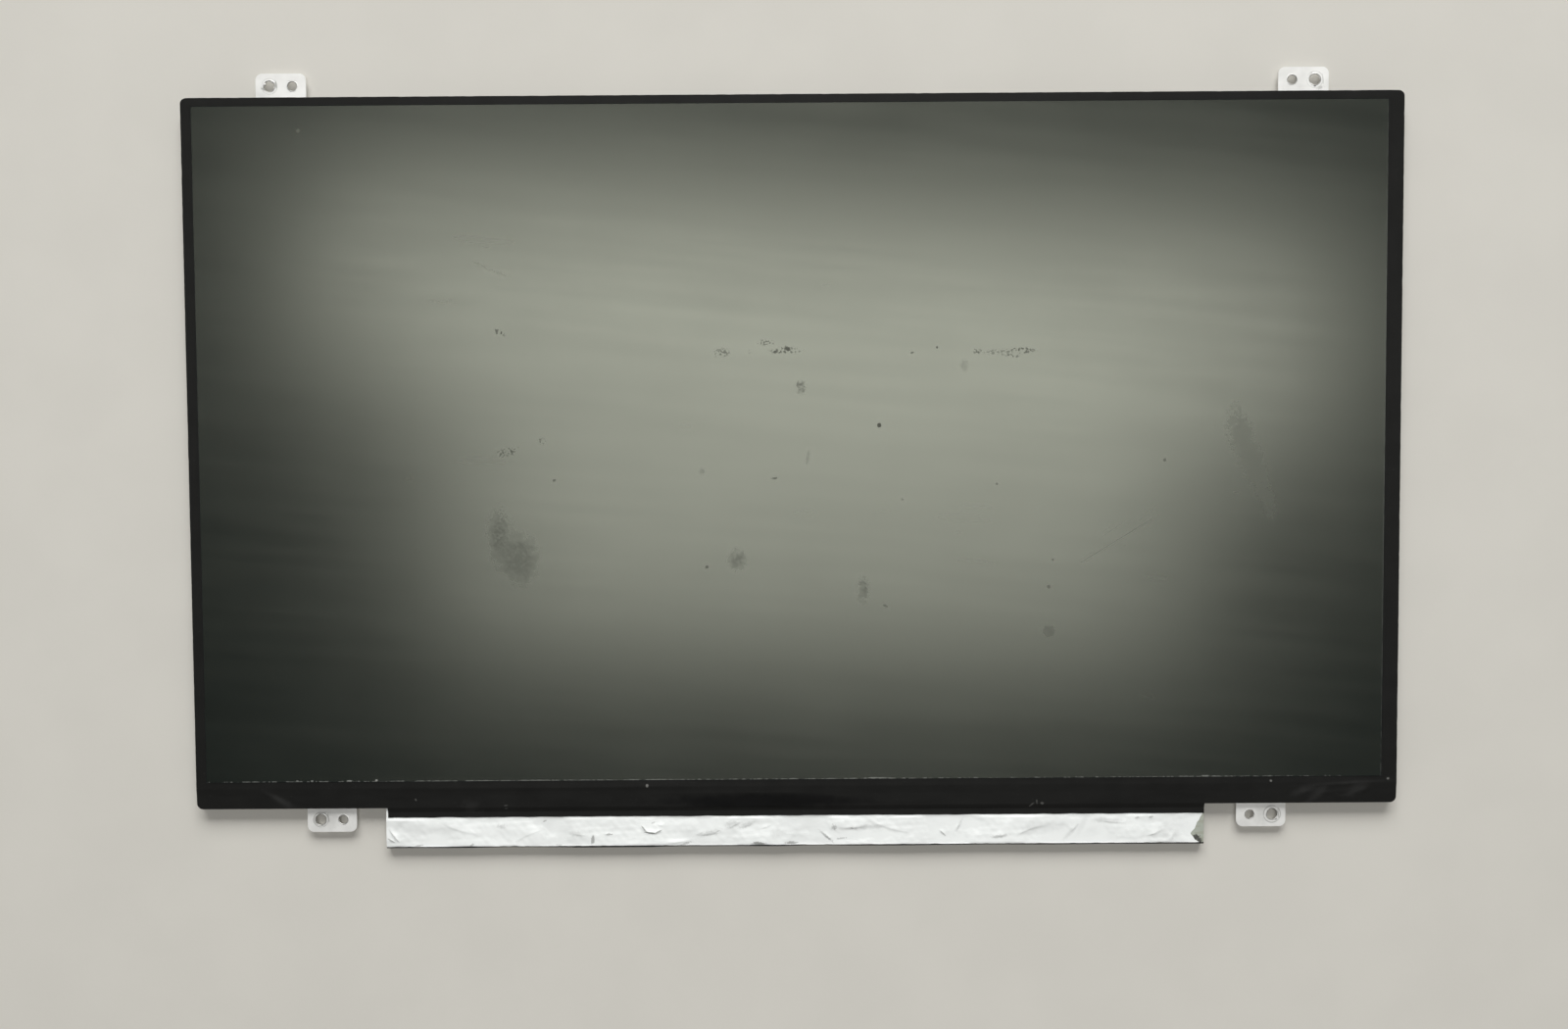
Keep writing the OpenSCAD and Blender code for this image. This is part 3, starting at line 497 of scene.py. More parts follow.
@dataclass(frozen=True)
class MattScreen(Finish):
    """Matt polarizer of the display: dark and even, with greasy smudges, wipe marks and specks."""

    smudge_rough: float = 0.42
    speck_rough: float = 0.85
    speck_colour: Colour = (0.006, 0.006, 0.006)
    pale_mark_colour: Colour = (0.30, 0.31, 0.30)
    specular: float = 1.0
    # The specular tint is partly the coating's own tint and partly the warmth of the lamps' light, painted
    # into the screen's reflections.
    tint: Colour = (0.965, 1.0, 0.85)
    grit_grain: Cloud = Cloud(0.55, 3.0, 0.50, 0.58)
    grease: Cloud = Cloud(0.8, 5.0, 0.35, 0.55, start=0.30)
    haze: Cloud = Cloud(34.0, 4.0, 0.2, 0.8, -0.010, 0.010)
    wipes: Cloud = Cloud(4.0, 5.0, 0.2, 0.8, -0.014, 0.014, (16, 1, 1), -5)
    hairs: Cloud = Cloud(0.9, 4.0, 0.54, 0.68, 0.0, 0.05, (24, 1, 1))
    smudges: tuple[Patch, ...] = ovals(
        (-78.3, -19.8, 1.9, 5, 3, 0.55, 0.6, 1.1, 0.7),
        (-73.2, -25.2, 4.1, 5.2, 0, 0.4, 0.5, 1.6, 0.95),
        (-76.6, -23.6, 2.8, 3, 0, 0.5, 0.7, 1.2, 0.7),
        (-15.2, -25.7, 1.9, 2.2, 0, 0.35, 0.5, 0.9),
        (18.2, -34.1, 1, 2.3, -8, 0.8, 0.7, 0.7, 0.6),
        (67.4, -45.2, 1.4, 1.3, 0, 0.12, 0.35, 0.8),
        (118.2, 6, 2.5, 6.2, 14, 0.5, 0.8, 1.4, 0.5),
        (120.9, -0.6, 2.6, 5.6, 24, 0.5, 0.7, 1.6, 0.55),
        (125, -9.6, 1.4, 6, 12, 0.5, 0.9, 2, 0.3),
        (45, 25.2, 0.8, 1.2, 0, 0.6, 0.8, 0.5, 0.45),
        (1.9, 19.6, 0.8, 1.3, -12, 0.9, 0.8, 0.5, 0.55),
        (3.6, 1.4, 0.4, 1.5, -8, 0.5, 0.6, 0.5, 0.8),
        (-90.2, 52, 8.5, 1.2, -4, 0.3, 1, 3, 0.14),
        (-79.6, 51.2, 4.6, 0.35, -23, 0.3, 0.9, 1.5, 0.22),
        (-89, 43.2, 7, 1.6, 0, 0.3, 1, 3, 0.1),
        (-24.4, -2.3, 0.6, 0.6, 0, 0.3, 0.5, 0.5, 0.8),
    )
    specks: tuple[Patch, ...] = ovals(
        (22.5, 9.6, 0.5, 0.55, 0, 0.1, 0.3),
        (37.8, 30, 0.26, 0.26, 0, 0.3, 0.4, 0.8, 0.7),
        (31.3, 28.7, 0.4, 0.2, 20, 0.3, 0.4, 0.8, 0.45),
        (-1.6, 29.9, 0.8, 0.5, -25, 0.5, 0.35, 0.5, 0.95),
        (-4.9, 29.1, 0.5, 0.3, 0, 0.4, 0.4, 0.5, 0.8),
        (1.1, 20.6, 0.35, 0.6, 0, 0.5, 0.5, 0.5, 0.35),
        (-5.2, -4.2, 0.7, 0.22, 6, 0.4, 0.4, 0.5, 0.6),
        (-63.5, -4.4, 0.35, 0.3, 0, 0.3, 0.4, 0.5, 0.55),
        (-101.8, -3.6, 0.35, 0.3, 0, 0.2, 0.4, 0.5, 0.6),
        (-129.4, 87.5, 0.4, 0.4, 0, 0.2, 0.5, 0.5, 0.45),
        (-23.3, -27.6, 0.4, 0.4, 0, 0.2, 0.4, 0.5, 0.55),
        (97.9, 0, 0.35, 0.4, 0, 0.3, 0.5, 0.5, 0.4),
        (67.3, -33.4, 0.35, 0.35, 0, 0.3, 0.5, 0.5, 0.45),
        (68.4, -26.2, 0.25, 0.25, 0, 0.3, 0.5, 0.5, 0.5),
        (24, -38.2, 0.6, 0.25, -24, 0.4, 0.5, 0.5, 0.4),
        (53.6, -6, 0.25, 0.25, 0, 0.3, 0.5, 0.5, 0.35),
        (28.5, -10, 0.25, 0.25, 0, 0.3, 0.5, 0.5, 0.3),
    )
    grit: tuple[Patch, ...] = ovals(
        (-18.7, 29, 1.9, 0.9, 0, 0.5, 0.6, 0.6, 0.4),
        (-12, 29.2, 0.9, 0.4, 0, 0.5, 0.6, 0.6, 0.25),
        (-7.3, 31.6, 1.5, 0.7, 0, 0.5, 0.6, 0.5, 0.45),
        (-2.2, 29.4, 3.2, 0.7, 0, 0.5, 0.6, 0.6, 0.6),
        (48.4, 28.9, 1.2, 0.5, 0, 0.5, 0.5, 0.6, 0.8),
        (55, 28.6, 4.2, 0.7, 0, 0.5, 0.6, 0.6, 0.22),
        (60.1, 29.1, 2.7, 0.6, 0, 0.4, 0.5, 0.6, 0.9),
        (57.4, 27.7, 1.8, 0.4, 0, 0.5, 0.5, 0.6, 0.4),
        (1.9, 19.8, 1.1, 1.5, 0, 0.5, 0.5, 0.6, 0.4),
        (-75.9, 3.1, 2, 0.8, 12, 0.5, 0.5, 0.6, 0.75),
        (-66.8, 6, 1, 0.7, 0, 0.5, 0.5, 0.6, 0.35),
        (-77.3, 34.7, 1.1, 0.7, -30, 0.5, 0.5, 0.6, 0.85),
        (18.2, -34, 1.4, 2.8, 0, 0.5, 0.5, 0.6, 0.3),
        (-78, -18, 2.6, 5, 0, 0.5, 0.5, 0.5, 0.22),
    )
    scratches: tuple[tuple[Patch, float], ...] = (
        (Patch((84.0, -20.5), (11.0, 3.0), 32, 0.2, 0.6, 3.0), 32.0),
        (Patch((-82.0, 50.0), (17.0, 5.0), -10, 0.3, 0.8, 5.0, 0.22), -9.0),
        (Patch((10.0, 56.0), (60.0, 8.0), -4, 0.3, 0.8, 8.0, 0.25), -5.0),
    )
    dust_and_pale_line: tuple[Patch, ...] = ovals(
        (-48, -84.36, 86, 0.08, 0, 2, 0.5, 0.9, 0.42),
        (110, -84.36, 13.5, 0.09, 0, 2, 0.5, 0.7, 0.42),
        (-133.1, -84.2, 0.3, 0.2, 0, 0.4, 0.4, 0.8, 0.5),
        (-129.2, -84.2, 0.3, 0.2, 0, 0.4, 0.4, 0.8, 0.6),
        (-119.1, -84.2, 0.7, 0.18, 0, 0.5, 0.4, 0.8, 0.8),
        (-112, -84.1, 0.32, 0.26, 0, 0.3, 0.4, 0.8, 0.9),
        (21.5, -84.2, 3, 0.14, 0, 0.5, 0.4, 0.8, 0.5),
        (109.1, -84.2, 1, 0.16, 0, 0.6, 0.4, 0.8, 0.5),
        # This row draws a faint pale line down the right side of the screen.
        (155.88, 4, 0.1, 86, 0, 0.8, 0.5, 1.6, 0.14),
    )

    def material(self) -> Material:
        """Make the screen's material."""
        graph, colour, _, fine = self.ground()
        smudged = graph.math("MULTIPLY", graph.patches(self.smudges), graph.cloud(self.grease))
        gritty = graph.math("MULTIPLY", graph.patches(self.grit), graph.cloud(self.grit_grain))
        specked = graph.math("MAXIMUM", graph.patches(self.specks), gritty)
        rough = graph.math("ADD", graph.cloud(self.haze), self.roughness)
        rough = graph.math("ADD", rough, graph.cloud(self.wipes))
        for mark, turn in self.scratches:
            rough = graph.raised(rough, graph.patch(mark), graph.cloud(replace(self.hairs, turn=turn)))
        rough = graph.raised(rough, smudged, self.smudge_rough - self.roughness)
        rough = graph.raised(rough, specked, self.speck_rough - self.roughness)
        colour = graph.mix(specked, colour, self.speck_colour)
        colour = graph.marked(colour, self.dust_and_pale_line, self.pale_mark_colour)
        # Specular tint: the coating's tint plus the painted warmth of the lamps' light.
        graph.set(Specular_IOR_Level=self.specular, Specular_Tint=(*self.tint, 1.0))
        return self.complete(graph, colour, rough, fine)


@dataclass(frozen=True)
class BlackTape(Finish):
    """Matt black polyester tape, with pale lint, painted sheen on its creased corners, and a band that a
    finger made glossy and that is darkened with painted shade.
    """

    lint_colour: Colour = (0.16, 0.16, 0.155)
    polish_rough: float = 0.36
    specular: float = 0.13
    # Painted shade: the glossy band is also darkened where the tape bends down and faces away from the
    # light.
    glossy_shaded_band: Patch = Patch((-9.8, -90.3), (25.0, 1.7), 0, 0.2, 0.4, 3.0, 0.8)
    band_shade_colour: Colour = (0.0035, 0.0035, 0.0038)
    flecks: Cloud = Cloud(0.35, 2.0, 0.70, 0.78, end=0.22)
    lint: tuple[Patch, ...] = ovals(
        (-39.8, -86, 0.35, 0.45, 0, 0.3, 0.3),
        (-101.7, -89.5, 0.22, 0.4, 25, 0.3, 0.4, 0.8, 0.5),
        (-77.6, -91.2, 0.5, 0.16, 5, 0.4, 0.5, 0.8, 0.3),
        (-77.5, -92, 0.45, 0.16, 5, 0.4, 0.5, 0.8, 0.25),
        (62.8, -91.9, 0.75, 0.2, 38, 0.6, 0.5, 0.5, 0.4),
        (64.3, -91, 0.22, 0.5, 10, 0.6, 0.5, 0.5, 0.35),
        (65.8, -91.5, 0.4, 0.32, 0, 0.6, 0.5, 0.5, 0.45),
        (126.7, -85.7, 0.3, 0.3, 0, 0.3, 0.3, 0.8, 0.9),
        (157.9, -85.2, 0.3, 0.28, 0, 0.3, 0.3, 0.8, 0.9),
    )
    # Painted sheen: pale patches on the creased corners paint the light that the folds catch.
    painted_sheen_colour: Colour = (0.045, 0.045, 0.045)
    painted_sheen_spots: tuple[Patch, ...] = ovals(
        (135.2, -88.3, 2.4, 0.8, 24, 0.4, 1, 1.8, 0.32),
        (139.4, -89.2, 2.8, 0.8, 38, 0.4, 1, 1.8, 0.38),
        (149.4, -88, 2.8, 1.1, 30, 0.4, 1, 1.8, 0.3),
        (145.7, -86.4, 9, 0.35, 3, 0.5, 1, 1.5, 0.22),
        (-137.6, -89.7, 3.2, 0.7, -31, 0.4, 1, 1.8, 0.4),
        (-87, -91.2, 2.2, 1.5, 0, 0.6, 1, 1, 0.22),
    )

    def material(self) -> Material:
        """Make the tape's material."""
        graph, colour, rough, fine = self.ground()
        colour = graph.mix(graph.cloud(self.flecks), colour, self.lint_colour)
        # Painted sheen on the creased corners.
        colour = graph.marked(colour, self.painted_sheen_spots, self.painted_sheen_colour)
        colour = graph.marked(colour, self.lint, self.lint_colour)
        # The glossy band lowers the roughness and paints shade into the colour.
        glossy_shaded_band = graph.patch(self.glossy_shaded_band)
        colour = graph.mix(glossy_shaded_band, colour, self.band_shade_colour)
        rough = graph.raised(rough, glossy_shaded_band, self.polish_rough - self.roughness)
        graph.set(Specular_IOR_Level=self.specular)
        return self.complete(graph, colour, rough, fine)


def ear_holes() -> list[tuple[str, Place, float]]:
    """Mount's name, middle and radius of each screw hole in the ears, in millimetres."""
    holes = []
    for mount in frame["record"]["mounts"]:
        if mount["kind"] == "bolt_pattern":
            x, y = mount["pos_m"][0] / MM, mount["pos_m"][1] / MM
            half = mount["dims"]["spacing_x_mm"] / 2
            for side in (-1, 1):
                holes.append((mount["name"], (x + side * half, y), mount["dims"]["hole_r_mm"]))
    return holes


@dataclass(frozen=True)
class StampedSheet(Finish):
    """Satin aluminium sheet, with greasy thumb marks, screw-head imprints, and painted shade in dark
    crescents and rings round its holes.
    """

    # Colour of the painted shade round the holes, which also lies over the screw-head imprints.
    shade_and_imprint_colour: Colour = (0.10, 0.10, 0.09)
    handled: Cloud = Cloud(14.0, 5.0, 0.45, 0.75, end=0.08)
    scratched: Cloud = Cloud(0.25, 2.0, 0.64, 0.70, 0.0, 0.06, (40, 1, 1), 20)
    # Painted shade: dark crescents, dots and soft darker patches beside the holes.
    marks: tuple[Patch, ...] = ovals(
        (-135.5, 99.9, 0.25, 1, 8, 0.2, 0.5, 0.4, 0.6),
        (-139, 98.9, 0.5, 0.3, -30, 0.5, 0.5, 0.4, 0.5),
        (-131.3, 100.95, 1.1, 0.16, 0, 0.2, 0.5, 0.4, 0.35),
        (136.1, 100.5, 0.3, 0.9, -30, 0.3, 0.5, 0.4, 0.5),
        (137.3, 97.9, 0.3, 0.25, 0, 0.2, 0.4, 0.4, 0.8),
        (139.4, 99.6, 0.16, 1.2, 6, 0.3, 0.5, 0.4, 0.35),
        (138.6, 97.4, 0.8, 0.4, 10, 0.5, 0.6, 0.4, 0.35),
        (134.3, 99.6, 1.4, 2, 0, 0.3, 0.9, 1, 0.1),
        (-125.6, -94.6, 0.18, 1.2, 8, 0.2, 0.5, 0.4, 0.5),
        (-127.4, -93.2, 1.2, 0.18, 8, 0.2, 0.5, 0.4, 0.4),
        (-124.6, -95.6, 1.4, 1.8, 0, 0.4, 0.9, 1, 0.12),
        (129.3, -95, 0.18, 1.4, 6, 0.2, 0.5, 0.4, 0.45),
        (128.6, -96.4, 0.4, 0.3, 0, 0.3, 0.5, 0.4, 0.5),
        (124.6, -95.4, 1.5, 1.9, 0, 0.4, 0.9, 1, 0.16),
    )
    # Real screw-head imprints, drawn as dark rings whose darkness is painted shade.
    screw_imprint_shade_rings: tuple[Ring, ...] = (
        Ring((-127.6, -95.05), 1.98, 0.24, 0.55),
        Ring((127.6, -95.05), 2.25, 0.26, 0.50),
        Ring((137.3, 99.55), 2.15, 0.20, 0.30),
        Ring((-137.3, 99.55), 2.05, 0.20, 0.25),
    )
    # Painted shadow line just outside each hole's edge.
    rim_gap: float = 0.05
    rim_width: float = 0.20
    rim_strength: float = 0.80

    def rim_shade_rings(self) -> list[Ring]:
        """Painted shadow lines round the sheared edges of the screw holes."""
        return [
            Ring(centre, radius + self.rim_gap, self.rim_width, self.rim_strength)
            for _, centre, radius in ear_holes()
        ]

    def material(self) -> Material:
        """Make the sheet's material."""
        graph, colour, rough, fine = self.ground()
        wear = graph.math("ADD", graph.cloud(self.handled), graph.cloud(self.scratched))
        marked = graph.patches(self.marks)
        for ring in (*self.rim_shade_rings(), *self.screw_imprint_shade_rings):
            marked = graph.math("MAXIMUM", marked, graph.ring(ring))
        colour = graph.mix(marked, colour, self.shade_and_imprint_colour)
        return self.complete(graph, colour, graph.math("ADD", rough, wear), fine)


@dataclass(frozen=True)
class CreasedFoil(Finish):
    """Aluminium foil tape, rubbed grey in places, with painted shade along its creases and darker marks
    along its lower edge.
    """

    # Grey of the rubbed clouds, and of the painted shade along the creases.
    grey_and_shade_colour: Colour = (0.36, 0.37, 0.37)
    rubbed: Cloud = Cloud(5.0, 5.0, 0.50, 0.80, 0.0, 0.22, (2.4, 1, 1))
    # Mostly painted shade along the creases and under overhanging folds; the rest are darker marks along
    # the lower edge and soft grey smears.
    crease_shade_and_edge_marks: tuple[Patch, ...] = ovals(
        (-108.6, -100.6, 1.1, 0.16, -30, 0.4, 0.4, 0.3, 0.8),
        (-107.8, -99.5, 1.9, 0.18, -52, 0.4, 0.6, 0.4, 0.45),
        (-101.2, -102.1, 1, 0.22, 8, 0.5, 0.5, 0.4, 0.55),
        (-87, -102, 0.6, 0.25, 30, 0.5, 0.5, 0.4, 0.6),
        (-63.8, -102.1, 0.9, 0.2, 0, 0.5, 0.5, 0.4, 0.5),
        (-29.6, -101.9, 1.2, 0.3, 20, 0.6, 0.5, 0.4, 0.6),
        (-79, -97, 0.9, 0.6, 10, 0.9, 0.6, 0.5, 0.25),
        (-67.4, -95.6, 0.5, 0.2, 25, 0.6, 0.5, 0.4, 0.6),
        (-58.9, -99.2, 2.2, 0.6, -8, 0.5, 0.8, 0.8, 0.3),
        (-54.6, -100.8, 0.45, 1.2, -5, 0.3, 0.3, 0.4, 0.8),
        (-50.4, -99.3, 0.9, 0.2, 0, 0.6, 0.4, 0.4, 0.7),
        (-40.9, -97.8, 0.9, 0.18, -50, 0.4, 0.4, 0.3, 0.8),
        (-39.1, -98.95, 1.5, 0.2, -6, 0.4, 0.4, 0.3),
        (-36.9, -98.6, 0.9, 0.2, 24, 0.4, 0.4, 0.3, 0.9),
        (-38.3, -96.2, 0.6, 0.2, 12, 0.6, 0.4, 0.4, 0.4),
        (-23.6, -99.2, 2.6, 0.6, 12, 0.5, 0.8, 0.6, 0.45),
        (-21.4, -98.8, 0.8, 0.2, 24, 0.5, 0.5, 0.4, 0.6),
        (-17.1, -96.7, 1.6, 0.7, 10, 0.6, 0.8, 0.5, 0.35),
        (-13.2, -96.9, 1.7, 0.5, 25, 0.6, 0.7, 0.5, 0.4),
        (-10.1, -102, 1.8, 0.42, 0, 0.4, 0.4, 0.4),
        (-1.4, -101.9, 1.5, 0.38, 0, 0.4, 0.4, 0.4, 0.9),
        (-5, -99.2, 1.8, 0.7, 5, 0.5, 0.9, 0.6, 0.22),
        (8, -100.2, 2.1, 0.3, -41, 0.5, 0.6, 0.5, 0.6),
        (10.1, -97.7, 0.5, 0.8, 30, 0.6, 0.5, 0.4, 0.6),
        (12, -100.8, 1.3, 0.2, 5, 0.9, 0.4, 0.4, 0.5),
        (14.8, -98, 0.6, 0.18, -12, 0.4, 0.5, 0.4, 0.8),
        (18.6, -97.8, 3.6, 0.5, 3, 0.5, 0.9, 0.8, 0.35),
        (39.1, -99.4, 0.9, 0.2, -45, 0.4, 0.6, 0.4, 0.6),
        (43.6, -97.4, 1.5, 0.3, 63, 0.5, 0.8, 0.5, 0.4),
        (54.5, -100.4, 2, 0.35, 8, 0.7, 0.6, 0.5, 0.5),
        (66.7, -98.2, 4.6, 1, 2, 0.4, 1, 1.5, 0.2),
        (73.6, -99.4, 2.5, 0.45, 46, 0.4, 0.9, 0.8, 0.28),
        (76.6, -97.4, 2.2, 0.7, 60, 0.4, 0.9, 0.8, 0.15),
        (83.4, -96.3, 3, 0.5, -3, 0.5, 0.9, 0.8, 0.3),
        (91.3, -95.6, 0.6, 0.25, 10, 0.6, 0.4, 0.4, 0.5),
        (95, -95.4, 0.6, 0.3, 30, 0.6, 0.4, 0.4, 0.6),
        (99, -99, 4, 1.4, 8, 0.5, 1, 1.2, 0.2),
    )

    def material(self) -> Material:
        """Make the foil's material."""
        graph, colour, rough, fine = self.ground()
        colour = graph.mix(graph.cloud(self.rubbed), colour, self.grey_and_shade_colour)
        # Painted shade along the creases.
        colour = graph.marked(colour, self.crease_shade_and_edge_marks, self.grey_and_shade_colour)
        return self.complete(graph, colour, rough, fine)


@dataclass(frozen=True)
class LacqueredBoard(Finish):
    """Circuit board with a thin lacquer over its copper, smudged where the foil was torn away."""

    copper_colour: Colour = (0.30, 0.29, 0.22)
    smudge_colour: Colour = (0.07, 0.07, 0.065)
    tracks: Cloud = Cloud(1.2, 0.0, 0.54, 0.56, 0.0, 0.35, (6, 1, 1))
    smudges: tuple[Patch, ...] = ovals(
        (106.9, -101.2, 1.1, 0.9, 0, 0.6, 0.4, 0.5),
        (108, -102, 0.7, 0.6, 0, 0.5, 0.4, 0.4),
    )

    def material(self) -> Material:
        """Make the board's material."""
        graph, colour, rough, fine = self.ground()
        colour = graph.mix(graph.cloud(self.tracks), colour, self.copper_colour)
        colour = graph.marked(colour, self.smudges, self.smudge_colour)
        return self.complete(graph, colour, rough, fine)


FINISHES: dict[str, Finish] = {
    "screen": MattScreen(
        "matt_screen", (0.0033, 0.0064, 0.0064), 0.256, ior=1.75, grain=0.12, depth=0.0004, drift=0.1
    ),
    "black_tape": BlackTape("black_tape", (0.0110, 0.0111, 0.0108), 0.48, grain=0.18),
    "back_cover": StampedSheet("satin_aluminium", (0.93, 0.935, 0.93), 0.47, 0.45, grain=0.2, depth=0.003),
    "foil": CreasedFoil("foil_tape", (0.94, 0.97, 0.98), 0.40, 0.06, grain=0.3, drift=0.03),
    "board": LacqueredBoard("lacquered_board", (0.42, 0.45, 0.40), 0.45, grain=0.3, depth=0.01),
    "black_film": Finish("black_film", (0.008, 0.008, 0.008), 0.32, grain=0.25, drift=0.3),
    "mould_frame": Finish("moulded_frame", (0.80, 0.80, 0.77), 0.48, grain=0.15, depth=0.006),
    "reflector": Finish("white_reflector", (0.92, 0.92, 0.91), 0.60, grain=0.1, depth=0.002, drift=0.02),
    "light_guide": Finish(
        "light_guide", (0.90, 0.94, 0.96), 0.10, clear=0.8, grain=0.8, depth=0.003, drift=0.03
    ),
    "diffuser": Finish("diffuser", (0.90, 0.91, 0.90), 0.70, grain=0.08, depth=0.003, drift=0.03),
    "prism_sheet": Finish(
        "prism_sheet", (0.80, 0.84, 0.88), 0.25, grain=0.05, depth=0.01, stretch=(400, 1, 1)
    ),
    "rear_polarizer": Finish("rear_polarizer", (0.03, 0.032, 0.035), 0.22, grain=0.3, depth=0.001),
    "tft_glass": Finish(
        "array_glass", (0.10, 0.115, 0.12), 0.07, grain=0.25, depth=0.001, stretch=(1, 60, 1)
    ),
    "filter_glass": Finish(
        "filter_glass", (0.03, 0.036, 0.038), 0.06, grain=0.25, depth=0.001, stretch=(60, 1, 1)
    ),
    "silicon": Finish("silicon", (0.12, 0.12, 0.14), 0.18, 0.6, grain=0.2, depth=0.001),
    "polyimide": Finish(
        "polyimide", (0.33, 0.15, 0.03), 0.30, grain=0.35, depth=0.003, stretch=(1, 12, 1)
    ),
    "white_plastic": Finish("white_plastic", (0.82, 0.80, 0.74), 0.42, grain=0.12),
    "phosphor": Finish("phosphor", (0.88, 0.68, 0.10), 0.35, grain=0.08, depth=0.006),
    "latch_plastic": Finish("latch_plastic", (0.10, 0.055, 0.03), 0.38, grain=0.12),
    "chip_plastic": Finish(
        "chip_plastic", (0.022, 0.022, 0.023), 0.52, grain=0.08, depth=0.008, drift=0.2
    ),
    "ferrite": Finish("ferrite", (0.075, 0.075, 0.08), 0.62, grain=0.1, depth=0.012),
    "capacitor": Finish("capacitor", (0.42, 0.31, 0.19), 0.40, grain=0.1, depth=0.006),
    "resistor": Finish("resistor", (0.016, 0.016, 0.018), 0.35, grain=0.1),
    "socket_plastic": Finish("socket_plastic", (0.70, 0.68, 0.62), 0.44, grain=0.1),
    "socket_shell": Finish(
        "socket_shell", (0.72, 0.72, 0.70), 0.26, 1.0, grain=0.3, depth=0.002, stretch=(9, 1, 1)
    ),
    "contact_metal": Finish("contact_metal", (0.90, 0.66, 0.28), 0.22, 1.0, grain=0.1, depth=0.002),
}


def add_object(name: str, data: bpy.types.ID) -> Object:
    """Put a mesh, lamp or camera into the scene."""
    item = bpy.data.objects.new(name, data)
    bpy.context.scene.collection.objects.link(item)
    return item


def add_mesh(name: str, grid: Grid) -> Object:
    """Put a built mesh into the scene and free its workings."""
    mesh = bpy.data.meshes.new(name)
    grid.to_mesh(mesh)
    grid.free()
    return add_object(name, mesh)


def slice_faces(mesh: Grid, faces: list, axis: Axis, cuts: Sequence[float]) -> None:
    """Cut faces along planes, by halves, so that each face is looked at only a few times.

    Args:
        mesh: Mesh that holds the faces.
        faces: Faces to cut.
        axis: Axis that the planes stand across.
        cuts: Places of the planes along it, in rising order.
    """
    if not cuts or not faces:
        return
    middle = len(cuts) // 2
    at = cuts[middle]
    edges = {edge for face in faces for edge in face.edges}
    corners = {corner for face in faces for corner in face.verts}
    point = Vector((0, 0, 0))
    point[axis.value] = at
    normal = Vector((0, 0, 0))
    normal[axis.value] = 1
    cut = bmesh.ops.bisect_plane(
        mesh, geom=[*faces, *edges, *corners], dist=CUT_TOLERANCE, plane_co=point, plane_no=normal
    )
    found = [part for part in cut["geom"] if isinstance(part, bmesh.types.BMFace)]
    lower = [face for face in found if face.calc_center_bounds()[axis.value] < at]
    upper = [face for face in found if face.calc_center_bounds()[axis.value] >= at]
    slice_faces(mesh, lower, axis, cuts[:middle])
    slice_faces(mesh, upper, axis, cuts[middle + 1:])


@dataclass(frozen=True)
class FineSheet:
    """Finer copy of a packed sheet's own mesh, whose skin is then lifted into folds and worn at its edges.

    The steps of its grid are in millimetres, and the angle from which an edge stays sharp is in degrees.
    """

    node: str
    piece: str
    slot: Slot
    step: Place
    sharp: float = 40.0

    def grid(self) -> Grid:
        """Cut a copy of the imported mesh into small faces."""
        grid = bmesh.new()
        grid.from_mesh(frame["nodes"][self.node].data)
        bmesh.ops.remove_doubles(grid, verts=grid.verts, dist=WELD_DISTANCE)
        bmesh.ops.dissolve_limit(grid, angle_limit=FLAT_ANGLE, verts=grid.verts, edges=grid.edges)
        low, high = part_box(self.node)
        for axis, step in zip(Axis, self.step):
            start = low[axis.value]
            reach = high[axis.value] - start
            count = max(2, round(reach / (step * MM)))
            cuts = [start + reach * i / count for i in range(1, count)]
            slice_faces(grid, list(grid.faces), axis, cuts)
        bmesh.ops.recalc_face_normals(grid, faces=grid.faces)
        return grid

    def build(self, shape: Shape) -> Object:
        """Make the piece.

        Args:
            shape: Takes each corner's place and normal, and returns its new place, all in millimetres.

        Returns:
            The piece, which stands for its node.
        """
        piece = add_mesh(self.piece, self.grid())
        mesh = piece.data
        place = np.zeros(len(mesh.vertices) * 3)
        normal = np.zeros(len(mesh.vertices) * 3)
        mesh.vertices.foreach_get("co", place)
        mesh.vertices.foreach_get("normal", normal)
        moved = shape(place.reshape(-1, 3) / MM, normal.reshape(-1, 3)) * MM
        mesh.vertices.foreach_set("co", moved.ravel())
        mesh.shade_smooth()
        mesh.set_sharp_from_angle(angle=math.radians(self.sharp))
        mesh.update()
        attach(piece, "root")
        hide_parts(self.node)
        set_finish(piece, self.slot.value)
        return piece


def ease(value: Array, low: float, high: float) -> Array:
    """Smooth step of each value, 0 at low and 1 at high."""
    share = np.clip((value - low) / (high - low), 0, 1)
    return share * share * (3 - 2 * share)


def facing_up(normal: Array) -> Array:
    """How far each corner belongs to the upper skin, 0 on walls and below, 1 on top."""
    return ease(normal[:, 2], 0.2, 0.6)


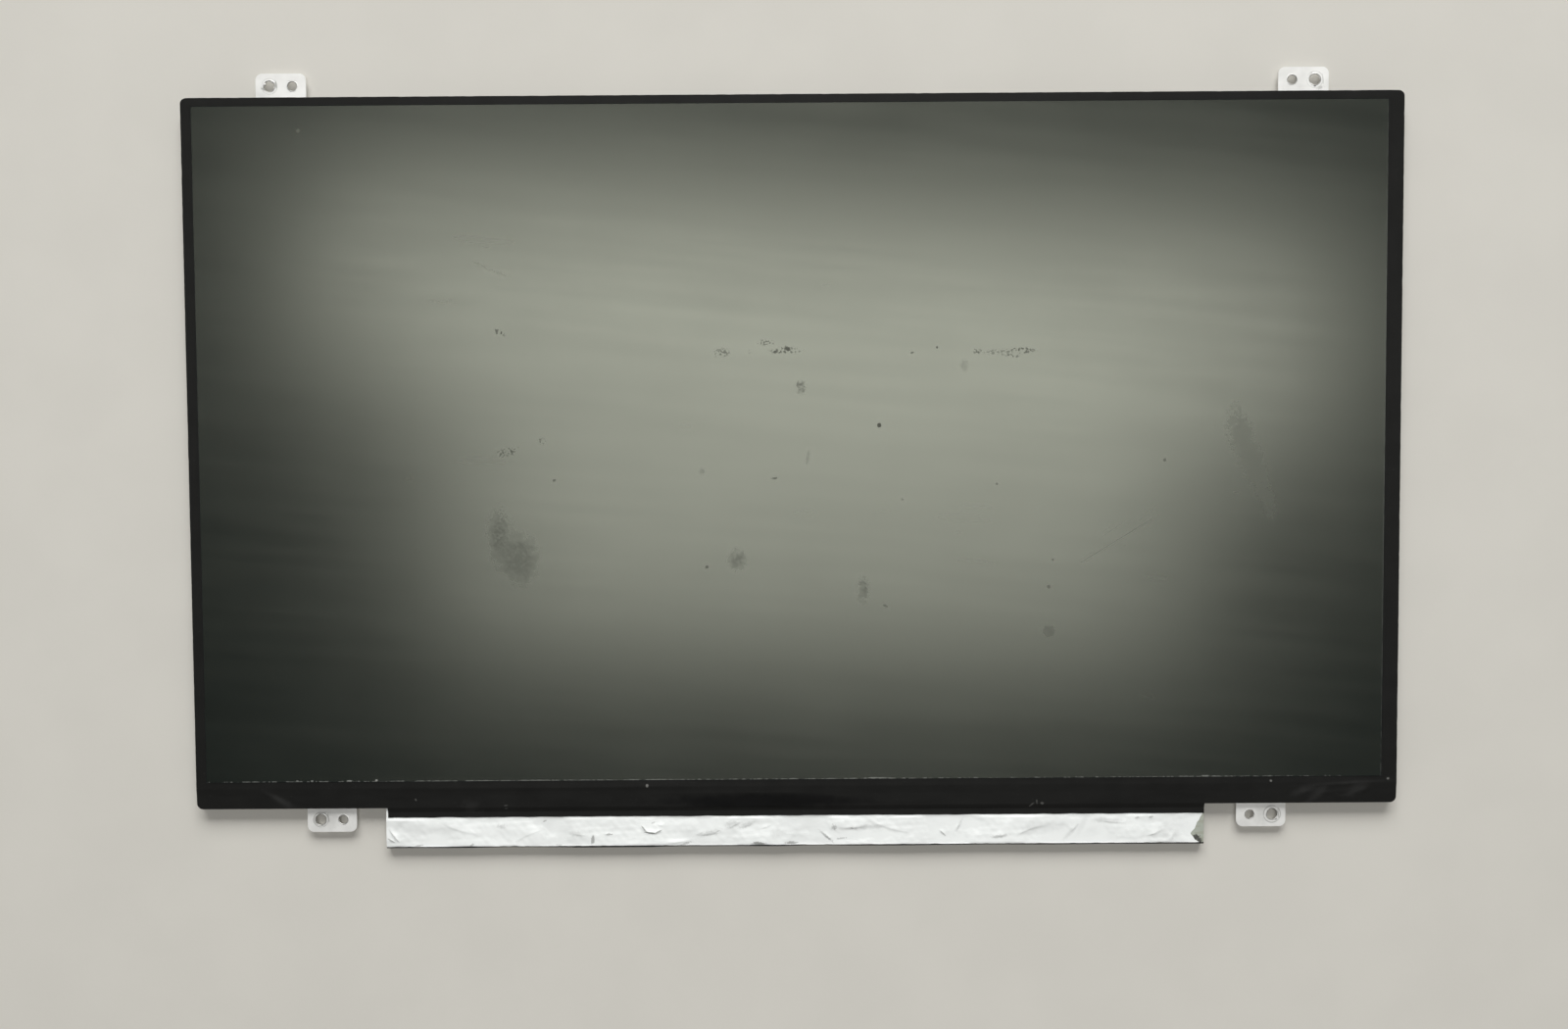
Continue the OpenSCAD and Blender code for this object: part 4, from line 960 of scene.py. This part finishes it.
@dataclass
class RimTape:
    """Black tape round three sides of the module, with slightly uneven cut edges.

    Lengths are in millimetres. Inner edges lie inside inner_x and below inner_y.
    """

    sheet: FineSheet = FineSheet("rim_tape", "rim_tape_fine", Slot.BLACK_TAPE, (0.8, 0.8))
    swell: Ripple = Ripple(9.0, 0.010, 11)
    edge: Ripple = Ripple(5.0, 0.05, 12)
    rough_edge: Ripple = Ripple(3.5, 0.05, 13)
    deepest_nick: float = 0.08
    inner_x: float = 158.5
    inner_y: float = 94.6
    top_z: float = 2.85
    wall_z: float = 0.5

    def shape(self, place: Array, normal: Array) -> Array:
        """Lift the front skin a little and let its inner edge waver.

        Args:
            place: Corners, in millimetres.
            normal: Their normals.

        Returns:
            The moved corners.
        """
        x, y, z = place.T
        front = (z > self.top_z).astype(float)
        moved = place.copy()
        moved[:, 2] += front * facing_up(normal) * self.swell.lift(x, y)
        inner = (np.abs(x) < self.inner_x) & (y < self.inner_y)
        waver = self.edge.lift(x, y) * front * inner
        nicks = np.clip(self.rough_edge.lift(x, y), 0, self.deepest_nick)
        outer = nicks * (1 - inner) * (z > self.wall_z)
        moved[:, 0] += (waver - outer) * normal[:, 0]
        moved[:, 1] += (waver - outer) * normal[:, 1]
        return moved

    def build(self) -> list[Object]:
        """Make the tape."""
        return [self.sheet.build(self.shape)]


@dataclass
class LowerTape:
    """Black tape over the drivers, creased where it was pulled over the corners and bent to the board.

    Lengths are in millimetres. The tape lies flat above flat_y, and its loose end is below end_y.
    """

    sheet: FineSheet = FineSheet("lower_tape", "lower_tape_fine", Slot.BLACK_TAPE, (0.6, 0.5))
    swell: Ripple = Ripple(7.0, 0.020, 21, 3.0)
    fine_swell: Ripple = Ripple(2.2, 0.006, 22, 2.0)
    edge: Ripple = Ripple(6.0, 0.05, 23)
    deepest: float = -0.03
    highest: float = 0.2
    waver: float = 0.1
    flat_y: float = -84.7
    end_y: float = -94.2
    ramp: float = 0.6
    skin_z: float = 1.5
    folds: tuple[Fold, ...] = creases(
        (-139.2, -89.1, 10, 0.14, -31, 0.3, 0.25, 1),
        (-133, -89.9, 7, 0.08, -24, 0.2, 0.25, 0.9),
        (138, -88.4, 13, 0.11, 14, -0.4, 0.25, 1.1),
        (143.5, -88.9, 16, 0.13, 6, 0.5, 0.25, 1),
        (146, -90.2, 12, 0.1, -6, 0.3, 0.25, 0.9),
        (149, -87.4, 9, 0.07, 22, -0.2, 0.25, 0.9),
        (-104, -88.6, 22, 0.05, 2, 0.4, 0.4, 1.4),
        (104, -88.9, 18, 0.05, -3, 0.3, 0.4, 1.4),
        (30, -90.6, 30, 0.05, 1, 0.3, 0.4, 1.2),
        (-66, -86.6, 120, 0.07, 0.2, 0, 0.1, 1.5),
        (-18, -88.4, 60, 0.09, 0.1, 0, 0.1, 1.4),
        (138.9, -89.2, 8, 0.2, 34, 0.2, 0.2, 0.9),
        (151.1, -88.6, 7, 0.18, 20, 0.3, 0.2, 0.9),
        (145.7, -86.7, 22, 0.09, 2, 0.2, 0.15, 0.8),
    )

    def shape(self, place: Array, normal: Array) -> Array:
        """Lift the skin into creases.

        Args:
            place: Corners, in millimetres.
            normal: Their normals.

        Returns:
            The moved corners.
        """
        x, y, z = place.T
        lift = self.swell.lift(x, y) + self.fine_swell.lift(x, y)
        for fold in self.folds:
            lift += fold.lift(x, y)
        upper = z > self.skin_z
        skin = facing_up(normal) * upper * ease(self.flat_y - y, 0.0, self.ramp)
        moved = place.copy()
        moved[:, 2] += skin * np.clip(lift, self.deepest, self.highest)
        loose = (y < self.end_y) & upper
        moved[:, 1] += loose * np.clip(self.edge.lift(x, y), -self.waver, self.waver)
        return moved

    def build(self) -> list[Object]:
        """Make the tape."""
        return [self.sheet.build(self.shape)]


@dataclass
class FoilWrap:
    """Foil over the board's front, dented and torn at its right end, and the black film folded up behind.

    Lengths are in millimetres. The foil's packed creases are laid flat first, and its folds stand where
    they stood. The foil is free between free_y and edge_y, and torn from tear_x on, below tear_y. The
    film's fold is the skin within fold_y, and it bulges between bulge_left and bulge_right.
    """

    foil: FineSheet = FineSheet("foil_tape", "foil_tape_fine", Slot.FOIL, (0.3, 0.25))
    film: FineSheet = FineSheet("board_film", "board_film_fine", Slot.BLACK_FILM, (0.8, 0.8))
    foil_thickness: float = 0.08
    swells: tuple[Ripple, ...] = (
        Ripple(13.0, 0.090, 31, 1.6),
        Ripple(5.0, 0.048, 32, 1.4),
        Ripple(1.6, 0.015, 33),
    )
    deepest: float = -0.05
    highest: float = 0.34
    free_y: float = -94.5
    edge_y: float = -102.4
    nicks: Ripple = Ripple(2.6, 0.06, 36)
    nick_y: float = -102.39
    deepest_nick: float = 0.2
    tear: Ripple = Ripple(1.6, 0.14, 34)
    tear_x: Place = (103.5, 105.0)
    tear_y: float = -95.2
    film_line: Ripple = Ripple(26.0, 0.07, 35)
    film_gap: float = 0.22
    narrowest_gap: float = 0.10
    widest_gap: float = 0.34
    fold_y: Place = (-102.55, -102.45)
    bulge: float = 0.35
    bulge_left: Place = (-61.0, -59.5)
    bulge_right: Place = (36.0, 38.5)
    folds: tuple[Fold, ...] = creases(
        (-108, -99.4, 5.4, 0.26, -56, 0.5, 0.12, 0.8),
        (-108.5, -100.8, 2.6, 0.18, -30, 0.2, 0.1, 0.4),
        (-91, -97.8, 12, 0.1, -20, 0.6, 0.2, 1.4),
        (-86.6, -98.8, 4, 0.07, -36, 0.2, 0.14, 0.7),
        (-79.4, -96.8, 1.6, 0.09, 30, 0.2, 0.12, 0.4),
        (-78.4, -97.3, 1.8, 0.1, -24, -0.2, 0.12, 0.4),
        (-72, -99.4, 10, 0.08, 24, -0.5, 0.2, 1.2),
        (-58.6, -99.4, 4.6, 0.09, -8, 0.3, 0.16, 1),
        (-54.5, -100.7, 3, -0.1, 86, 0.1, 0.12, 0.3),
        (-50.5, -99.4, 2.4, 0.13, 0, 0.3, 0.1, 0.5),
        (-38.9, -98.9, 6.4, 0.3, -8, 1.1, 0.1, 0.7),
        (-36.4, -97, 2.4, 0.1, -10, 0.3, 0.12, 0.5),
        (-31.8, -101.6, 7, 0.18, 4, 0.2, 0.12, 0.8),
        (-23.4, -99.5, 8, 0.16, 10, 0.4, 0.16, 1.2),
        (-16.6, -97.1, 5, 0.14, 28, 0.3, 0.14, 0.9),
        (-12.9, -97.1, 3.6, 0.13, 25, 0.2, 0.12, 0.7),
        (-8.2, -97.6, 5, 0.1, 20, 0.3, 0.16, 0.9),
        (8, -100.1, 4.4, 0.2, -42, 0.2, 0.12, 0.9),
        (10, -97.8, 2.2, 0.14, 60, 0.2, 0.12, 0.6),
        (14.9, -98, 8.4, 0.15, 4, 0.4, 0.14, 1),
        (24.6, -98, 14, 0.12, -18, 0.8, 0.25, 1.8),
        (39.1, -99.5, 3.4, 0.16, -42, 0.1, 0.12, 0.8),
        (43.6, -97.6, 4, 0.16, 60, 0.2, 0.12, 0.9),
        (54.6, -100.5, 4.6, 0.12, 6, 0.2, 0.12, 0.6),
        (62.4, -98.6, 10, 0.14, 20, -0.7, 0.2, 1.6),
        (74.2, -98.8, 8, 0.2, 46, 0.5, 0.14, 1.2),
        (84.6, -96.8, 9, 0.12, -6, 0.4, 0.2, 1.2),
        (91.4, -95.8, 1.8, 0.1, 10, 0.2, 0.1, 0.4),
        (95.2, -95.7, 1.8, 0.1, 40, 0.2, 0.1, 0.4),
        (96.2, -99.8, 6, 0.14, 22, 0.3, 0.14, 1),
        (100.8, -100.8, 3, 0.12, 60, 0.2, 0.12, 0.6),
    )

    def shape_foil(self, place: Array, normal: Array) -> Array:
        """Dent the foil, nick its lower edge and tear its right end.

        Args:
            place: Corners, in millimetres.
            normal: Their normals.

        Returns:
            The moved corners.
        """
        x, y, z = place.T
        lift = sum(swell.lift(x, y) for swell in self.swells)
        for fold in self.folds:
            lift = lift + fold.lift(x, y)
        board_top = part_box("circuit_board")[1].z / MM
        free = ease(self.free_y - y, 0.0, 0.8) * ease(y - self.edge_y, 0.0, 0.3)
        moved = place.copy()
        moved[:, 2] = np.minimum(z, board_top + self.foil_thickness)
        moved[:, 2] += facing_up(normal) * free * np.clip(lift, self.deepest, self.highest)
        moved[:, 1] += (y < self.nick_y) * np.clip(self.nicks.lift(x, x * 0), 0.0, self.deepest_nick)
        torn = ease(x, *self.tear_x) * ease(self.tear_y - y, 0.0, 1.0)
        moved[:, 0] += torn * self.tear.lift(x * 0, y)
        return moved

    def shape_film(self, place: Array, normal: Array) -> Array:
        """Let the film's fold stand away from the board by a varying gap.

        Args:
            place: Corners, in millimetres.
            normal: Their normals, not used here.

        Returns:
            The moved corners.
        """
        x, y, _ = place.T
        fold = (y > self.fold_y[0]) & (y < self.fold_y[1])
        bulged = ease(x, *self.bulge_left) * ease(-x, *self.bulge_right)
        gap = np.clip(self.film_gap + self.film_line.lift(x, x * 0), self.narrowest_gap, self.widest_gap)
        moved = place.copy()
        moved[:, 1] -= fold * np.maximum(gap, self.bulge * bulged)
        return moved

    def build(self) -> list[Object]:
        """Make the foil and the film."""
        return [self.foil.build(self.shape_foil), self.film.build(self.shape_film)]


@dataclass
class HoleLips:
    """Raised and bruised lips round the screw holes of the four ears.

    Lengths are in millimetres. The ears' top is ear_z above the cover's underside, and the lip starts at
    root below it, inside the hole, and ends at sunk below it.
    """

    width: float = 0.30
    height: float = 0.045
    steps: int = 72
    ear_z: float = 1.5
    root: float = 0.12
    sunk: float = 0.01
    torn_holes: str = "top_outer_holes"
    torn_lean: float = 0.28
    plain_lean: float = 0.04
    bruise: Ripple = Ripple(2.2, 1.0, 40)
    bruise_radius: float = 2.0

    def lip(self, mesh: Grid, centre: Place, radius: float, ragged: float, seed: int) -> None:
        """Add the lip of one hole.

        Args:
            mesh: Mesh that takes the lip.
            centre: Middle of the hole.
            radius: Radius of the hole.
            ragged: How far torn metal leans into the hole.
            seed: Seed of its unevenness.
        """
        turn = np.arange(self.steps) * 2 * math.pi / self.steps
        even = np.ones(self.steps)
        way = (np.cos(turn) * self.bruise_radius, np.sin(turn) * self.bruise_radius)
        bruise = replace(self.bruise, seed=seed).lift(*way)
        lean = ragged * np.clip(bruise, 0, 1.5)
        tall = self.height * (1 + 0.5 * np.clip(bruise, -1, 1))
        ear_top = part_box("back_cover")[0].z / MM + self.ear_z
        rings = [
            (radius - lean, (ear_top - self.root) * even),
            (radius - lean * 1.1, ear_top + tall * 0.6),
            ((radius + self.width * 0.35) * even, ear_top + tall),
            ((radius + self.width * 0.75) * even, ear_top + tall * 0.4),
            ((radius + self.width) * even, (ear_top - self.sunk) * even),
        ]
        loops = []
        for reach, level in rings:
            across = (centre[0] + reach * np.cos(turn), centre[1] + reach * np.sin(turn), level)
            loops.append([mesh.verts.new(point) for point in np.transpose(across) * MM])
        loops.append(loops[0])
        for inner, outer in zip(loops, loops[1:]):
            for i in range(self.steps):
                j = (i + 1) % self.steps
                mesh.faces.new((inner[i], outer[i], outer[j], inner[j]))

    def build(self) -> list[Object]:
        """Make the lips of all the holes as one piece."""
        mesh = bmesh.new()
        for number, (name, centre, radius) in enumerate(ear_holes()):
            lean = self.torn_lean if name == self.torn_holes else self.plain_lean
            self.lip(mesh, centre, radius, lean, self.bruise.seed + number)
        bmesh.ops.recalc_face_normals(mesh, faces=mesh.faces)
        piece = add_mesh("ear_hole_lips", mesh)
        piece.data.shade_smooth()
        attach(piece, "root")
        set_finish(piece, Slot.BACK_COVER.value)
        return [piece]


@dataclass
class PhotoCamera:
    """Camera straight above the panel, as far away as the photograph's perspective says.

    Its place is in millimetres and its turn in degrees.
    """

    place: Triple = (-2.42, -2.83, 314.11)
    turn: Triple = (-2.017, 0.052, -0.366)
    focal_pixels: float = 1200.0
    image_width: float = 1600.0
    sensor_width: float = 36.0
    nearest: float = 10.0

    def build(self) -> Object:
        """Make the camera and give it to the scene."""
        data = bpy.data.cameras.new("photo_camera")
        data.sensor_width = self.sensor_width
        data.lens = self.sensor_width * self.focal_pixels / self.image_width
        data.clip_start = self.nearest * MM
        camera = add_object("photo_camera", data)
        camera.location = Vector(self.place) * MM
        camera.rotation_euler = Euler([math.radians(part) for part in self.turn])
        bpy.context.scene.camera = camera
        return camera


@dataclass(frozen=True)
class Lamp:
    """Soft rectangular lamp that faces straight down, or is tilted towards the panel.

    Its place and size are in metres, its turn and tilt in degrees.
    """

    name: str
    centre: Triple
    size: Place
    watts: float
    turn: float = 0.0
    tilt: float = 0.0


@dataclass
class Studio:
    """Floor, two soft lamps overhead, a low one beyond the panel's top, and a sky paler at the horizon.

    Lengths are in metres. From near_floor to far_floor away the floor turns into the backdrop. The sky
    fades from horizon to zenith between the two heights of dimming, on a sphere of radius 1.
    """

    floor_colour: Colour = (0.625, 0.610, 0.575)
    backdrop_colour: Colour = (0.617, 0.597, 0.552)
    near_floor: float = 0.3
    far_floor: float = 0.85
    floor_size: float = 12.0
    floor_cells: int = 8
    floor_gap: float = 0.00002
    lamp_colour: Colour = (1.0, 0.995, 0.965)
    lamps: tuple[Lamp, ...] = (
        Lamp("wide_lamp", (0.045, 0.207, 1.2), (1.280, 0.233), 2.97, -4.6),
        Lamp("near_lamp", (0.033, -0.063, 1.2), (0.930, 0.318), 1.99, -1.8),
        Lamp("window_lamp", (0.0, 3.40, 1.74), (3.6, 1.6), 204.0, tilt=-63.0),
    )
    zenith: float = 0.028
    horizon: float = 1.0
    dimming: Place = (0.12, 0.72)

    def build_floor(self) -> Object:
        """Lay the floor just under the panel."""
        mesh = bmesh.new()
        cells = self.floor_cells
        bmesh.ops.create_grid(mesh, x_segments=cells, y_segments=cells, size=self.floor_size / 2)
        floor = add_mesh("floor", mesh)
        floor.location.z = -self.floor_gap
        floor.data.materials.append(self.floor_material())
        return floor

    def floor_material(self) -> Material:
        """Make the floor's material, which camera and reflections see as the backdrop when far off."""
        finish = Finish("pale_floor", self.floor_colour, 0.8, grain=0.7, depth=0.01, drift=0.02)
        graph, *ground = finish.ground()
        finish.complete(graph, *ground)
        far = graph.remap(graph.length(graph.place), self.near_floor, self.far_floor)
        ray = graph.node("LightPath").outputs
        seen = graph.math("MAXIMUM", ray["Is Camera Ray"], ray["Is Glossy Ray"])
        seen = graph.math("MAXIMUM", seen, ray["Is Transmission Ray"])
        glow = graph.node("Emission")
        glow.inputs["Color"].default_value = (*self.backdrop_colour, 1.0)
        blend = graph.node("MixShader")
        graph.feed(blend.inputs["Fac"], graph.math("MULTIPLY", far, seen))
        graph.feed(blend.inputs[1], graph.shader.outputs["BSDF"])
        graph.feed(blend.inputs[2], glow.outputs["Emission"])
        graph.feed(graph.nodes["Material Output"].inputs["Surface"], blend.outputs["Shader"])
        return graph.owner

    def build_lamps(self) -> None:
        """Hang the lamps."""
        for lamp in self.lamps:
            data = bpy.data.lights.new(lamp.name, "AREA")
            data.shape = "RECTANGLE"
            data.size, data.size_y = lamp.size
            data.energy = lamp.watts
            data.color = self.lamp_colour
            light = add_object(lamp.name, data)
            light.location = lamp.centre
            light.rotation_euler = (math.radians(lamp.tilt), 0, math.radians(lamp.turn))

    def build_sky(self) -> None:
        """Surround the panel with a sky, dim overhead and pale at the horizon."""
        graph = Graph(bpy.data.worlds.new("sky"))
        parts = graph.node("SeparateXYZ")
        graph.feed(parts.inputs["Vector"], graph.where["Generated"])
        fall = graph.remap(parts.outputs["Z"], *self.dimming, self.horizon, self.zenith)
        background = graph.nodes["Background"].inputs
        background["Color"].default_value = (*self.backdrop_colour, 1.0)
        graph.feed(background["Strength"], fall)
        bpy.context.scene.world = graph.owner

    def build(self) -> None:
        """Make the whole studio."""
        self.build_floor()
        self.build_lamps()
        self.build_sky()
        bpy.context.scene.view_settings.view_transform = "Standard"


@dataclass
class PanelDressing:
    """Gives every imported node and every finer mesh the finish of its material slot."""

    materials: dict[str, Material] = field(default_factory=dict)

    def finish(self, slot: str) -> Material:
        """Material of a slot, made once."""
        if slot not in self.materials:
            self.materials[slot] = FINISHES[slot].material()
        return self.materials[slot]

    def dress_node(self, name: str, node: Object) -> None:
        """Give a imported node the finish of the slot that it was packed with.

        Args:
            name: Name of the node.
            node: Its object.
        """
        for place in node.material_slots:
            slot = place.material.name
            place.material = self.finish(slot)
            LOG.info("%s: %s", name, slot)

    def dress_piece(self, piece: Object) -> None:
        """Give a finer mesh its finish.

        Args:
            piece: The piece, with its slot named.
        """
        piece.data.materials.append(self.finish(piece["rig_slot"]))


def main() -> None:
    """Build and dress the panel in its studio."""
    logging.basicConfig(level=logging.INFO, format="%(message)s")
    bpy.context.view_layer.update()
    PhotoCamera().build()
    Studio().build()
    dressing = PanelDressing()
    for name, node in sorted(frame["nodes"].items()):
        dressing.dress_node(name, node)
    for assembly in (RimTape(), LowerTape(), FoilWrap(), HoleLips()):
        for piece in assembly.build():
            dressing.dress_piece(piece)


if __name__ == "__main__":
    main()
